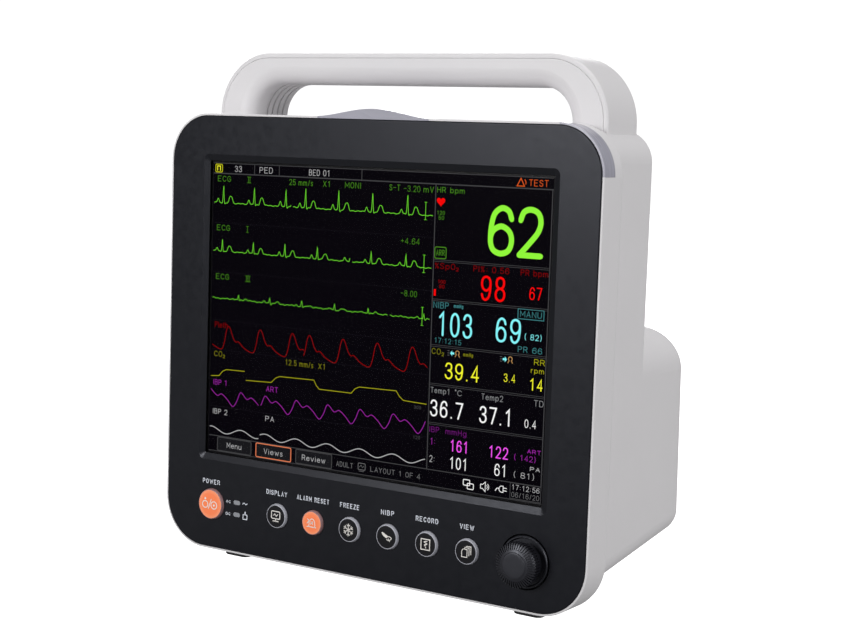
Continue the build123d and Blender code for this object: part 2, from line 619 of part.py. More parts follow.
with BuildPart() as rear_housing:
    add(casing)
    add(casing_room, mode=Mode.SUBTRACT)
    add(collar)
    add(wells)
    block((-98.5, 98.5), (32.5, 65.5), (SCOOP_FLOOR - 2.5, CASING_TOP - 1))
    for x, height in BRACKET_HOLES:
        rod_y(5.0, x, height, (CASING_DEPTH - 14, CASING_DEPTH - 1))
    add(scoop.part, mode=Mode.SUBTRACT)
    block(REAR_BAY[0], (100, 160), REAR_BAY[1], mode=Mode.SUBTRACT)
    for x, height in CASING_SCREWS:
        rod_y(4.2, x, height, (BAND_DEPTH + 3, 160), mode=Mode.SUBTRACT)
        rod_y(1.7, x, height, (BAND_DEPTH - 1, BAND_DEPTH + 5), mode=Mode.SUBTRACT)
    for x, height in BRACKET_HOLES:
        rod_y(2.1, x, height, (CASING_DEPTH - 12, CASING_DEPTH + 1), mode=Mode.SUBTRACT)
    for x, depth in HANDLE_SCREWS:
        rod_z(2.2, x, depth, (CASING_TOP - 10, CASING_TOP + 1), mode=Mode.SUBTRACT)
    block((LEFT - 2, LEFT + WALL + 2), PANEL[0], PANEL[1], mode=Mode.SUBTRACT)
    block((LEFT - 2, LEFT + WALL + 2), RECORDER[0], RECORDER[1], mode=Mode.SUBTRACT)
    block(BATTERY_SLOT[0], (KEEL_DEPTH - WALL - 2, KEEL_DEPTH + 2), BATTERY_SLOT[1], mode=Mode.SUBTRACT)
    # hinge holes of the two doors
    rod_y(1.06, LEFT + 1.4, RECORDER[1][0] + 1.8, (RECORDER[0][0] - 2.4, RECORDER[0][1] + 2.4),
          mode=Mode.SUBTRACT)
    rod_x(1.06, KEEL_DEPTH - 1.5, BATTERY_SLOT[1][0] + 1.6,
          (BATTERY_SLOT[0][0] - 2.4, BATTERY_SLOT[0][1] + 2.4), mode=Mode.SUBTRACT)
    # ventilation slots and the loudspeaker's holes
    for centre in (-92.0, 92.0):
        with Locations(*[at(centre + 7 * step, CASING_DEPTH, 192) for step in range(-5, 6)]):
            Box(3, 20, 26, mode=Mode.SUBTRACT)
    for ring, count in ((0, 1), (8, 6), (16, 12)):
        for turn in range(count):
            angle = math.radians(360 / count * turn)
            rod_y(1.8, SPEAKER[0] + ring * math.cos(angle), SPEAKER[1] + ring * math.sin(angle), (130, 150),
                  mode=Mode.SUBTRACT)
    # rear foot bosses
    with BuildSketch(level(KEEL_BOTTOM + 0.5)):
        with Locations((-FOOT_REAR_X, FOOT_REAR_DEPTH), (FOOT_REAR_X, FOOT_REAR_DEPTH)):
            Circle(10.5)
    extrude(amount=-4.2)
keep("rear_housing", rear_housing)

with BuildPart() as feet:
    with BuildSketch(level(-4.7)):
        with Locations((-FOOT_X, FOOT_FRONT_DEPTH), (FOOT_X, FOOT_FRONT_DEPTH)):
            RectangleRounded(19.5, 9.2, 4.4)
        with Locations((-FOOT_REAR_X, FOOT_REAR_DEPTH), (FOOT_REAR_X, FOOT_REAR_DEPTH)):
            Circle(9.0)
    extrude(amount=-(FOOT_DROP - 4.7))
    fillet(feet.edges().group_by(Axis.Z)[0], 0.8)
keep("feet", feet)

with BuildPart() as casing_screws:
    for x, height in CASING_SCREWS:
        rod_y(1.45, x, height, (17, BAND_DEPTH + 3))
        rod_y(3.4, x, height, (BAND_DEPTH + 3, BAND_DEPTH + 5.4))
    for x, depth in HANDLE_SCREWS:
        rod_z(1.95, x, depth, (CASING_TOP - WALL, CASING_TOP + 12))
        rod_z(3.6, x, depth, (CASING_TOP - WALL - 2.4, CASING_TOP - WALL))
keep("casing_screws", casing_screws)

# ------------------------------------------------------------------ inside: plates and boards
DECK = 32.0
with BuildPart() as chassis_plate:
    block((-128, 128), (32, 118), (DECK, DECK + 1.4))
    block((-66, 128), (60, 61.4), (DECK, 176))
    for x in (-40, 20, 80):
        rod_y(6, x, 150, (55, 65), mode=Mode.SUBTRACT)
keep("chassis_plate", chassis_plate)

with BuildPart() as main_board:
    board_back = MAIN_BOARD_DEPTH + 1.6
    block((-92, 92), (MAIN_BOARD_DEPTH, board_back), (80, 228))
    block((-20, 20), (board_back, board_back + 2.4), (134, 174))
    for x in (-62, -44, 44, 62):
        block((x - 6, x + 6), (board_back, board_back + 1.2), (150, 172))
    block((-80, -50), (board_back, board_back + 8), (86, 94))
    block((30, 74), (board_back, board_back + 9), (86, 95))
    block((-84, -77), (board_back, board_back + 11), (180, 214))
    for x in (40, 56, 72):
        rod_y(5, x, 206, (board_back, board_back + 12))
    for x, height in BOARD_POSTS:
        rod_y(1.6, x, height, (MAIN_BOARD_DEPTH - 1, board_back + 1), mode=Mode.SUBTRACT)
keep("main_board", main_board)

with BuildPart() as main_heatsink:
    sink = MAIN_BOARD_DEPTH + 4.0
    block((-24, 24), (sink, sink + 3), (130, 178))
    for step in range(9):
        block((-24 + step * 5.75, -22 + step * 5.75), (sink + 3, sink + 14), (130, 178))
keep("main_heatsink", main_heatsink)

with BuildPart() as measurement_board:
    block((-124.0, -122.4), (30, 56), (76, 234))
    for height in (92, 122, 152, 182, 212):
        block((-122.4, -117), (34, 52), (height - 9, height + 9))
keep("measurement_board", measurement_board)

with BuildPart() as power_supply:
    base = DECK + 7
    block((30, 126), (64, 108), (base, base + 1.6))
    block((38, 66), (70, 98), (base + 1.6, base + 26))
    for x in (78, 94):
        rod_z(7, x, 76, (base + 1.6, base + 28))
    block((72, 122), (98, 101), (base + 1.6, base + 30))
    block((108, 122), (68, 90), (base + 1.6, base + 16))
    for x in (36, 120):
        for depth in (67, 105):
            rod_z(2.5, x, depth, (DECK + 1.4, base))
keep("power_supply", power_supply)

with BuildPart() as speaker:
    rod_y(25, SPEAKER[0], SPEAKER[1], (127, 130))
    rod_y(21, SPEAKER[0], SPEAKER[1], (117, 127))
    rod_y(12, SPEAKER[0], SPEAKER[1], (110, 117))
    with BuildSketch(front(130)):
        with Locations(SPEAKER):
            Circle(22)
    extrude(amount=8, taper=40, mode=Mode.SUBTRACT)
keep("speaker", speaker)

with BuildPart() as battery_pack:
    block((-52, 52), (46, 112), (3.6, 21.4))
    fillet(battery_pack.edges().filter_by(Axis.Y), 3)
    for x in (-20, -10, 0, 10, 20):
        block((x - 2, x + 2), (44.6, 46), (9, 16))
keep("battery_pack", battery_pack)

battery_door_x = (BATTERY_SLOT[0][0] + 0.4, BATTERY_SLOT[0][1] - 0.4)
battery_hinge = (KEEL_DEPTH - 1.5, BATTERY_SLOT[1][0] + 1.6)
with BuildPart() as battery_door:
    block(battery_door_x, (KEEL_DEPTH - 2.9, KEEL_DEPTH - 0.1),
          (battery_hinge[1], BATTERY_SLOT[1][1] - 0.4))
    rod_x(1.4, battery_hinge[0], battery_hinge[1], battery_door_x)
    rod_x(1.0, battery_hinge[0], battery_hinge[1], (BATTERY_SLOT[0][0] - 2, BATTERY_SLOT[0][1] + 2))
    # thumb grooves
    for height in (14, 16.5, 19):
        block((-12, 12), (KEEL_DEPTH - 0.6, KEEL_DEPTH + 1), (height - 0.4, height + 0.4),
              mode=Mode.SUBTRACT)
keep("battery_door", battery_door)

# ------------------------------------------------------------------ blood-pressure pump, valves and tube
PORT_HEIGHT = 60.0
TUBE_X = -84.0
with BuildPart() as nibp_pump:
    rod_x(13.5, 92, 49, (-58, -14))
    rod_x(10, 92, 49, (-14, -2))
    rod_x(2.5, 92, 49, (-62, -58))
    block((-52, -22), (84, 100), (DECK + 1.4, 40))
keep("nibp_pump", nibp_pump)

with BuildPart() as nibp_valve_block:
    block((-98, -62), (80, 104), (DECK + 1.4, 66))
    for depth in (86, 98):
        rod_z(5, -80, depth, (66, 84))
    rod_y(2.6, TUBE_X, PORT_HEIGHT, (74, 80))
    rod_y(1.4, TUBE_X, PORT_HEIGHT, (73, 82), mode=Mode.SUBTRACT)
keep("nibp_valve_block", nibp_valve_block)

tube_start = Vector(TUBE_X, FACE_Y + 74, BASE_Z + PORT_HEIGHT)
tube_turn = Vector(TUBE_X, FACE_Y + SOCKET_DEPTH, BASE_Z + PORT_HEIGHT)
tube_end = Vector(LEFT + 24, FACE_Y + SOCKET_DEPTH, BASE_Z + PORT_HEIGHT)
with BuildPart() as nibp_air_tube:
    with BuildLine():
        tube_path = FilletPolyline(tube_start, tube_turn, tube_end, radius=15)
    with BuildSketch(Plane(origin=tube_start, z_dir=(0, -1, 0))):
        Circle(2.6)
        Circle(1.4, mode=Mode.SUBTRACT)
    sweep(path=tube_path)
keep("nibp_air_tube", nibp_air_tube)

# ------------------------------------------------------------------ sensor panel on the left side
SOCKETS = {                              # height, barrel radius, contacts
    "ecg_socket": ((219.0, 9.0, 6),),
    "spo2_socket": ((192.0, 8.0, 5),),
    "temperature_sockets": ((171.0, 4.6, 0), (155.0, 4.6, 0)),
    "pressure_sockets": ((135.0, 7.0, 4), (113.0, 7.0, 4)),
    "co2_socket": ((90.0, 8.0, 5),),
    "nibp_port": ((PORT_HEIGHT, 8.0, 0),),
}
FLANGE_X = LEFT - 2.5
CONTACTS_X = (LEFT + 4.6, LEFT + 12)     # the contacts stand back from the mouth
BARREL_END = LEFT + 20
with BuildPart() as connector_panel:
    block((LEFT, LEFT + WALL), (PANEL[0][0] + 0.2, PANEL[0][1] - 0.2),
          (PANEL[1][0] + 0.2, PANEL[1][1] - 0.2))
    for group in SOCKETS.values():
        for height, radius, contacts in group:
            rod_x(radius + 0.05, SOCKET_DEPTH, height, (LEFT - 1, LEFT + 5), mode=Mode.SUBTRACT)
keep("connector_panel", connector_panel)

for name, group in SOCKETS.items():
    with BuildPart() as socket:
        for height, radius, contacts in group:
            rod_x(radius + 1.8, SOCKET_DEPTH, height, (FLANGE_X, LEFT))
            rod_x(radius, SOCKET_DEPTH, height, (LEFT, BARREL_END))
            rod_x(radius - 1.6, SOCKET_DEPTH, height, (FLANGE_X - 1, CONTACTS_X[1]), mode=Mode.SUBTRACT)
            for turn in range(contacts):
                angle = 2 * math.pi * turn / contacts
                reach = 0.5 * radius
                rod_x(0.6, SOCKET_DEPTH + reach * math.cos(angle), height + reach * math.sin(angle),
                      CONTACTS_X)
            if name == "temperature_sockets":
                rod_x(1.4, SOCKET_DEPTH, height, CONTACTS_X)
            if name == "nibp_port":
                rod_x(2.6, SOCKET_DEPTH, height, (CONTACTS_X[0], LEFT + 24))
                rod_x(1.4, SOCKET_DEPTH, height, (LEFT - 3, LEFT + 25), mode=Mode.SUBTRACT)
    keep(name, socket)

# ------------------------------------------------------------------ rear connector bay
PLATE_BACK = BAY_PLATE_DEPTH + 1.5
INLET = (-88.0, 78.0)
FUSES = [(-51.0, 90.0), (-51.0, 68.0)]
STUD = (-34.0, 62.0)
NETWORK, USB = (-31.0, 94.0), (-21.0, 76.0)
with BuildPart() as rear_io_plate:
    block((REAR_BAY[0][0] - 2, REAR_BAY[0][1] + 2), (BAY_PLATE_DEPTH, PLATE_BACK),
          (REAR_BAY[1][0] - 2, REAR_BAY[1][1] + 2))
    block((INLET[0] - 13.7, INLET[0] + 13.7), (120, 130), (INLET[1] - 9.9, INLET[1] + 9.9),
          mode=Mode.SUBTRACT)
    for x, height in FUSES:
        rod_y(6.1, x, height, (120, 130), mode=Mode.SUBTRACT)
    rod_y(2.1, STUD[0], STUD[1], (120, 130), mode=Mode.SUBTRACT)
    block((NETWORK[0] - 8, NETWORK[0] + 8), (120, 130), (NETWORK[1] - 6.8, NETWORK[1] + 6.8),
          mode=Mode.SUBTRACT)
    block((USB[0] - 3.6, USB[0] + 3.6), (120, 130), (USB[1] - 7.2, USB[1] + 7.2), mode=Mode.SUBTRACT)
keep("rear_io_plate", rear_io_plate)

with BuildPart() as mains_inlet:
    block((INLET[0] - 25, INLET[0] + 25), (PLATE_BACK, PLATE_BACK + 3), (INLET[1] - 11.5, INLET[1] + 11.5))
    fillet(mains_inlet.edges().filter_by(Axis.Y), 4)
    block((INLET[0] - 13.6, INLET[0] + 13.6), (104, PLATE_BACK), (INLET[1] - 9.8, INLET[1] + 9.8))
    with BuildSketch(front(PLATE_BACK + 4)):
        with Locations(INLET):
            RectangleRounded(24.2, 16.6, 3.5)
    extrude(amount=18, mode=Mode.SUBTRACT)
    for dx, dz in ((-7, -2), (0, 2), (7, -2)):
        block((INLET[0] + dx - 1, INLET[0] + dx + 1), (110, 126), (INLET[1] + dz - 2, INLET[1] + dz + 2))
    for dx in (-20, 20):
        rod_y(1.7, INLET[0] + dx, INLET[1], (120, 132), mode=Mode.SUBTRACT)
keep("mains_inlet", mains_inlet)

with BuildPart() as fuse_holders:
    for x, height in FUSES:
        rod_y(7.6, x, height, (PLATE_BACK, PLATE_BACK + 3.5))
        rod_y(6.0, x, height, (104, PLATE_BACK))
        block((x - 5, x + 5), (PLATE_BACK + 2.4, PLATE_BACK + 5), (height - 0.8, height + 0.8),
              mode=Mode.SUBTRACT)
keep("fuse_holders", fuse_holders)

with BuildPart() as ground_stud:
    with BuildSketch(front(PLATE_BACK + 3)):
        with Locations(STUD):
            RegularPolygon(6.5, 6)
    extrude(amount=3)
    rod_y(3.0, STUD[0], STUD[1], (PLATE_BACK, PLATE_BACK + 9))
    rod_y(2.0, STUD[0], STUD[1], (BAY_PLATE_DEPTH - 8, PLATE_BACK))
keep("ground_stud", ground_stud)

with BuildPart() as data_sockets:
    block((NETWORK[0] - 7.9, NETWORK[0] + 7.9), (108, PLATE_BACK + 1), (NETWORK[1] - 6.7, NETWORK[1] + 6.7))
    block((NETWORK[0] - 5.9, NETWORK[0] + 5.9), (112, PLATE_BACK + 2), (NETWORK[1] - 4.4, NETWORK[1] + 3.4),
          mode=Mode.SUBTRACT)
    block((NETWORK[0] - 2.5, NETWORK[0] + 2.5), (112, PLATE_BACK + 2), (NETWORK[1] + 3, NETWORK[1] + 5.2),
          mode=Mode.SUBTRACT)
    block((USB[0] - 3.5, USB[0] + 3.5), (110, PLATE_BACK + 1), (USB[1] - 7.1, USB[1] + 7.1))
    block((USB[0] - 2.6, USB[0] + 2.6), (113, PLATE_BACK + 2), (USB[1] - 6.2, USB[1] + 6.2),
          mode=Mode.SUBTRACT)
    block((USB[0] - 0.2, USB[0] + 1.8), (113, PLATE_BACK - 1), (USB[1] - 5.6, USB[1] + 5.6))
keep("data_sockets", data_sockets)

# ------------------------------------------------------------------ strip recorder on the left side
TUB_X = (LEFT + WALL + 0.4, -104.0)
TUB_DEPTH = (RECORDER[0][0] + 0.6, RECORDER[0][1] - 0.6)
TUB_HEIGHT = (RECORDER[1][0] + 0.6, RECORDER[1][1] - 0.6)
ROLL_X, ROLL_H, ROLL_R = -121.5, 73.0, 14.0
PLATEN_X, PLATEN_H, PLATEN_R = -140.5, 112.0, 5.0
HINGE_X, HINGE_H = LEFT + 1.4, RECORDER[1][0] + 1.8
DOOR_TOP = 120.0
DOOR_DEPTH = (RECORDER[0][0] + 0.4, RECORDER[0][1] - 0.4)
BUTTON = ((82.0, 96.0), (94.0, 102.0))
with BuildPart() as recorder_chassis:
    block(TUB_X, TUB_DEPTH, TUB_HEIGHT)
    block((TUB_X[0] - 1, TUB_X[1] - 2), (TUB_DEPTH[0] + 2, TUB_DEPTH[1] - 2),
          (TUB_HEIGHT[0] + 2, TUB_HEIGHT[1] - 2), mode=Mode.SUBTRACT)
    rod_y(5.9, ROLL_X, ROLL_H, (TUB_DEPTH[0] + 2, TUB_DEPTH[0] + 9))
    rod_y(5.9, ROLL_X, ROLL_H, (TUB_DEPTH[1] - 9, TUB_DEPTH[1] - 2))
keep("recorder_chassis", recorder_chassis)

with BuildPart() as print_head:
    block((PLATEN_X + PLATEN_R + 0.5, PLATEN_X + PLATEN_R + 3.5), (63, 115), (105, 119))
    block((PLATEN_X + PLATEN_R + 3.5, TUB_X[1] - 2), (80, 98), (109, 115))
keep("print_head", print_head)

with BuildPart() as recorder_door:
    block((LEFT + 0.05, LEFT + 2.75), DOOR_DEPTH, (HINGE_H, DOOR_TOP))
    fillet(recorder_door.edges().filter_by(Axis.X).group_by(Axis.Z)[-1], 2)
    rod_y(1.35, HINGE_X, HINGE_H, DOOR_DEPTH)
    rod_y(1.0, HINGE_X, HINGE_H, (RECORDER[0][0] - 2, RECORDER[0][1] + 2))
    for depth in ((61.0, 63.0), (115.0, 117.0)):
        block((LEFT + 2.5, PLATEN_X + 3), depth, (PLATEN_H - 4, PLATEN_H + 4))
        rod_y(1.55, PLATEN_X, PLATEN_H, (depth[0] - 1, depth[1] + 1), mode=Mode.SUBTRACT)
    block((LEFT - 1, LEFT + 4), BUTTON[0], BUTTON[1], mode=Mode.SUBTRACT)
keep("recorder_door", recorder_door)

with BuildPart() as platen_roller:
    rod_y(PLATEN_R, PLATEN_X, PLATEN_H, (63.6, 114.4))
    rod_y(1.5, PLATEN_X, PLATEN_H, (61.2, 116.8))
keep("platen_roller", platen_roller)

with BuildPart() as paper_roll:
    rod_y(ROLL_R, ROLL_X, ROLL_H, (64, 114))
    rod_y(5.97, ROLL_X, ROLL_H, (63, 115), mode=Mode.SUBTRACT)
keep("paper_roll", paper_roll)

with BuildPart() as recorder_button:
    block((LEFT - 0.6, LEFT + 2.9), (BUTTON[0][0] + 0.3, BUTTON[0][1] - 0.3),
          (BUTTON[1][0] + 0.3, BUTTON[1][1] - 0.3))
    fillet(recorder_button.faces().sort_by(Axis.X)[0].edges(), 0.5)
    block((LEFT + 2.9, LEFT + 3.9), (BUTTON[0][0] - 1.5, BUTTON[0][1] + 1.5),
          (BUTTON[1][0] - 1.5, BUTTON[1][1] + 1.5))
keep("recorder_button", recorder_button)

# ------------------------------------------------------------------ write every piece
for name, piece in pieces.items():
    export_step(piece, f"parts/{name}.step")
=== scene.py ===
"""The looks of a bedside patient monitor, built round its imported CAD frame.

Everything is in metres, in the CAD's own frame. A place on the monitor is given in millimetres, as x, the depth
behind the bezel's front face, and the height above the bezel's bottom edge; spot() turns it into a point.
"""
import math

import bmesh
import bpy
from mathutils import Matrix, Vector


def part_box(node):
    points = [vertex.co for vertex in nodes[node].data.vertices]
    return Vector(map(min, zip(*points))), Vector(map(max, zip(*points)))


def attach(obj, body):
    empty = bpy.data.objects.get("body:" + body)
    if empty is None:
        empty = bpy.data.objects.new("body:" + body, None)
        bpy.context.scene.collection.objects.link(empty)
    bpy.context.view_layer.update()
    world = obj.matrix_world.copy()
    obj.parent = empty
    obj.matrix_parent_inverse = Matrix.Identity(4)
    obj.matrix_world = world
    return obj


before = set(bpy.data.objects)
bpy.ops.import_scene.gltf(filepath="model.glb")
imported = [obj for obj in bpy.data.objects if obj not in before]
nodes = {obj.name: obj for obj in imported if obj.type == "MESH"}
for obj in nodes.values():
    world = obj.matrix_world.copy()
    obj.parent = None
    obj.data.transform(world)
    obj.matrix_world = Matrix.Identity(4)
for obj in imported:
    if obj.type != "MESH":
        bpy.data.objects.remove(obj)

scene = bpy.context.scene
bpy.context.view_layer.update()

MM = 0.001
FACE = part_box("front_bezel")[0].y
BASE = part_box("front_bezel")[0].z
PICTURE_W, PICTURE_H = 246.0, 184.5


def spot(x, depth, height):
    """A point on the monitor, from millimetres."""
    return Vector((x * MM, FACE + depth * MM, BASE + height * MM))


def limits(node):
    """A node's lowest and highest x, depth and height, in millimetres."""
    low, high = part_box(node)
    origin = Vector((0, FACE, BASE))
    return (low - origin) / MM, (high - origin) / MM


def middle(node):
    low, high = limits(node)
    return (low + high) / 2


# ------------------------------------------------------------------ materials
def shade(red, green, blue):
    """A linear colour from ordinary 0 to 255 values."""
    def linear(value):
        value /= 255
        return value / 12.92 if value < 0.04045 else ((value + 0.055) / 1.055) ** 2.4
    return (linear(red), linear(green), linear(blue), 1.0)


def scaled(colour, factor):
    return tuple(min(1.0, channel * factor) for channel in colour[:3]) + (1.0,)


class Finish:
    """A material with its node tree, and the few nodes that all finishes share."""

    def __init__(self, name):
        self.material = bpy.data.materials.new(name)
        self.material.use_nodes = True
        self.tree = self.material.node_tree
        self.shader = self.tree.nodes["Principled BSDF"]
        self.place = self.tree.nodes.new("ShaderNodeTexCoord").outputs["Object"]

    def link(self, output, socket):
        self.tree.links.new(output, socket)

    def stretched(self, stretch):
        """Object coordinates, stretched differently along x, y and z."""
        node = self.tree.nodes.new("ShaderNodeMapping")
        node.inputs["Scale"].default_value = stretch
        self.link(self.place, node.inputs["Vector"])
        return node.outputs["Vector"]

    def noise(self, size, detail=2.0, place=None):
        """Soft spots of a size in millimetres."""
        node = self.tree.nodes.new("ShaderNodeTexNoise")
        node.inputs["Scale"].default_value = 1 / (size * MM)
        node.inputs["Detail"].default_value = detail
        self.link(place or self.place, node.inputs["Vector"])
        return node.outputs["Fac"]

    def cells(self, size, feature="F1", place=None):
        node = self.tree.nodes.new("ShaderNodeTexVoronoi")
        node.feature = feature
        node.inputs["Scale"].default_value = 1 / (size * MM)
        self.link(place or self.place, node.inputs["Vector"])
        return node.outputs["Distance"]

    def ramp(self, source, low, high, to_low=0.0, to_high=1.0):
        node = self.tree.nodes.new("ShaderNodeMapRange")
        for name, value in (("From Min", low), ("From Max", high), ("To Min", to_low), ("To Max", to_high)):
            node.inputs[name].default_value = value
        self.link(source, node.inputs["Value"])
        return node.outputs["Result"]

    def blend(self, share, first, second):
        node = self.tree.nodes.new("ShaderNodeMix")
        node.data_type = "RGBA"
        node.inputs["A"].default_value = first
        node.inputs["B"].default_value = second
        self.link(share, node.inputs["Factor"])
        return node.outputs["Result"]

    def colour(self, output):
        self.link(output, self.shader.inputs["Base Color"])

    def tones(self, share, colour, darker, lighter):
        """One colour that wanders between two strengths."""
        self.colour(self.blend(share, scaled(colour, darker), scaled(colour, lighter)))

    def rough(self, output):
        self.link(output, self.shader.inputs["Roughness"])

    def uneven(self, share, low, high):
        """A roughness that wanders between two values."""
        self.rough(self.ramp(share, 0.3, 0.7, low, high))

    def bump(self, output, height, strength=1.0):
        """Raise the surface by a texture, by a height in millimetres."""
        node = self.tree.nodes.new("ShaderNodeBump")
        node.inputs["Strength"].default_value = strength
        node.inputs["Distance"].default_value = height * MM
        self.link(output, node.inputs["Height"])
        self.link(node.outputs["Normal"], self.shader.inputs["Normal"])

    def set(self, **values):
        for name, value in values.items():
            self.shader.inputs[name.replace("_", " ")].default_value = value
        return self


def plastic(name, colour, rough, grain=0.45, depth=0.02, mottle=0.04, specular=0.5, tint=(1.0, 1.0, 1.0, 1.0)):
    """Moulded plastic: a spark-eroded grain, with a faint cloudiness in its colour and gloss."""
    finish = Finish(name)
    finish.tones(finish.noise(35.0), colour, 1 - mottle, 1 + mottle)
    finish.uneven(finish.noise(4.0), rough - 0.04, rough + 0.04)
    finish.bump(finish.noise(grain, 3.0), depth)
    finish.set(Specular_IOR_Level=specular, Specular_Tint=tint)
    return finish.material


def metal(name, colour, rough, brush=(1.0, 1.0, 1.0), depth=0.01):
    """Bare or plated metal with the marks of rolling, turning or brushing."""
    finish = Finish(name).set(Metallic=1.0)
    marks = finish.noise(0.8, 4.0, finish.stretched(brush))
    finish.tones(finish.noise(9.0), colour, 0.88, 1.08)
    finish.uneven(marks, rough - 0.08, rough + 0.1)
    finish.bump(marks, depth)
    return finish.material


def rubber(name, colour):
    finish = Finish(name)
    finish.tones(finish.noise(12.0), colour, 0.85, 1.15)
    finish.uneven(finish.noise(1.5), 0.7, 0.9)
    finish.bump(finish.cells(0.7), 0.05)
    return finish.material


def board(name, colour):
    """Solder mask over copper tracks, with tinned pads."""
    finish = Finish(name)
    tracks = finish.ramp(finish.cells(3.2, "DISTANCE_TO_EDGE"), 0.04, 0.07)
    finish.colour(finish.blend(tracks, scaled(colour, 1.9), colour))
    finish.rough(finish.ramp(tracks, 0.0, 1.0, 0.3, 0.45))
    finish.bump(tracks, 0.03)
    finish.set(Coat_Weight=0.3, Coat_Roughness=0.2)
    return finish.material


def lens(name, colour):
    """Tinted translucent plastic with a smooth outside and faint lengthwise prisms inside."""
    finish = Finish(name)
    prisms = finish.noise(1.8, 1.0, finish.stretched((0.02, 1.0, 0.02)))
    streaks = finish.ramp(prisms, 0.3, 0.7)
    finish.tones(streaks, colour, 0.72, 1.16)
    finish.rough(finish.ramp(streaks, 0.0, 1.0, 0.3, 0.24))
    finish.set(Coat_Weight=0.3, Coat_Roughness=0.16)
    return finish.material


def clear_window(name):
    """The protective window: it shows what is behind it and mirrors a little of the room."""
    finish = Finish(name)
    finish.colour(finish.blend(finish.noise(30.0), shade(8, 8, 11), shade(12, 12, 15)))
    finish.uneven(finish.noise(9.0), 0.2, 0.24)
    finish.set(Alpha=0.04, Specular_IOR_Level=0.2)
    return finish.material


def glow(name, colour, strength=1.0):
    """Lit picture elements, a little uneven from one to the next."""
    finish = Finish(name)
    finish.tones(finish.noise(0.5), colour, 0.02, 0.03)
    lit = finish.blend(finish.noise(0.6), scaled(colour, 0.92), colour)
    finish.link(lit, finish.shader.inputs["Emission Color"])
    finish.set(Emission_Strength=strength, Roughness=0.6, Specular_IOR_Level=0.0)
    return finish.material


def print_ink(name, colour):
    """Screen-printed ink, slightly uneven where it took to the grain."""
    finish = Finish(name)
    finish.colour(finish.blend(finish.noise(0.7), scaled(colour, 0.86), colour))
    finish.uneven(finish.noise(0.5), 0.45, 0.6)
    return finish.material


def key_face(name, middle_colour, painted_rim_colour, centre, radius, painted_glow=0.0):
    """A key's printed face, lighter towards its rim as painted light leaking through its edge; the orange keys also
    get a faint painted glow, though no lamp lights them.
    """
    finish = Finish(name)
    away = finish.tree.nodes.new("ShaderNodeVectorMath")
    away.operation = "DISTANCE"
    away.inputs[1].default_value = centre
    finish.link(finish.place, away.inputs[0])
    share = finish.ramp(away.outputs["Value"], radius * 0.72 * MM, radius * 0.98 * MM)
    finish.colour(finish.blend(share, middle_colour, painted_rim_colour))
    finish.uneven(finish.noise(1.0), 0.4, 0.5)
    finish.bump(finish.noise(0.4, 3.0), 0.01)
    finish.set(Specular_IOR_Level=0.2, Emission_Color=middle_colour, Emission_Strength=painted_glow)
    return finish.material


WHITE = shade(226, 224, 226)
LAVENDER = shade(172, 171, 184)
GLOSS_TINT = (0.88, 0.9, 1.0, 1.0)
materials = {
    "white": plastic("white_plastic", WHITE, 0.48, 0.5, 0.012, 0.02),
    "black": plastic("black_plastic", shade(8, 9, 15), 0.35, 0.5, 0.015, 0.06, 0.33, GLOSS_TINT),
    "knob": plastic("knob_plastic", shade(21, 21, 27), 0.42, 0.4, 0.008, 0.05, 0.62, GLOSS_TINT),
    "dark": plastic("dark_grey_plastic", shade(70, 72, 76), 0.5),
    "socket": plastic("socket_plastic", shade(120, 124, 130), 0.38, 0.5, 0.01),
    "key_rim": plastic("grey_key", shade(186, 187, 197), 0.35, 0.5, 0.006, 0.05),
    "orange_rim": plastic("orange_key_rim", shade(160, 124, 126), 0.35, 0.5, 0.006, 0.05),
    "lens": lens("lens_plastic", LAVENDER),
    "light_pipe": lens("light_pipe", shade(158, 161, 168)),
    "window": clear_window("window_glass"),
    "display": plastic("display_glass", shade(9, 8, 12), 0.35, 0.6, 0.004, 0.1, 0.15),
    "dark_rubber": rubber("dark_rubber", shade(52, 52, 54)),
    "grey_rubber": rubber("grey_rubber", shade(130, 133, 137)),
    "steel": metal("steel_sheet", shade(190, 192, 195), 0.38, (1.0, 1.0, 0.08)),
    "bright_steel": metal("bright_steel", shade(205, 205, 208), 0.25),
    "nickel": metal("nickel_brass", shade(205, 198, 180), 0.28),
    "gold": metal("contact_gold", shade(214, 176, 96), 0.25),
    "aluminium": metal("heat_aluminium", shade(175, 177, 180), 0.42, (1.0, 1.0, 0.05)),
    "pump": metal("pump_metal", shade(165, 166, 170), 0.35, (0.1, 1.0, 1.0)),
    "board": board("circuit_board", shade(18, 92, 48)),
    "battery": plastic("battery_wrap", shade(40, 66, 112), 0.3, 1.2, 0.01, 0.08),
    "paper": plastic("thermal_paper", shade(238, 238, 232), 0.7, 0.3, 0.02, 0.02, 0.2),
    "tube": lens("clear_tube", shade(178, 188, 198)),
}
NODE_FINISHES = {
    "white": "front_housing rear_housing handle_body handle_cover battery_door recorder_door",
    "black": "front_bezel",
    "knob": "control_knob",
    "dark": "connector_panel rear_io_plate mains_inlet fuse_holders recorder_chassis print_head speaker "
            "nibp_valve_block",
    "socket": "ecg_socket spo2_socket temperature_sockets pressure_sockets co2_socket nibp_port",
    "key_rim": "display_key freeze_key pressure_key record_key view_key recorder_button",
    "orange_rim": "power_key alarm_reset_key",
    "lens": "top_alarm_lens corner_alarm_lens",
    "light_pipe": "status_light_pipes",
    "window": "screen_window",
    "display": "lcd_panel",
    "dark_rubber": "feet display_gasket platen_roller",
    "grey_rubber": "keypad_mat",
    "steel": "lcd_frame lcd_bracket chassis_plate encoder_body dome_switches",
    "bright_steel": "casing_screws encoder_nut encoder_shaft data_sockets",
    "nickel": "ground_stud encoder_rotor",
    "aluminium": "main_heatsink",
    "pump": "nibp_pump",
    "board": "key_board main_board measurement_board power_supply alarm_light_boards",
    "battery": "battery_pack",
    "paper": "paper_roll",
    "tube": "nibp_air_tube",
}
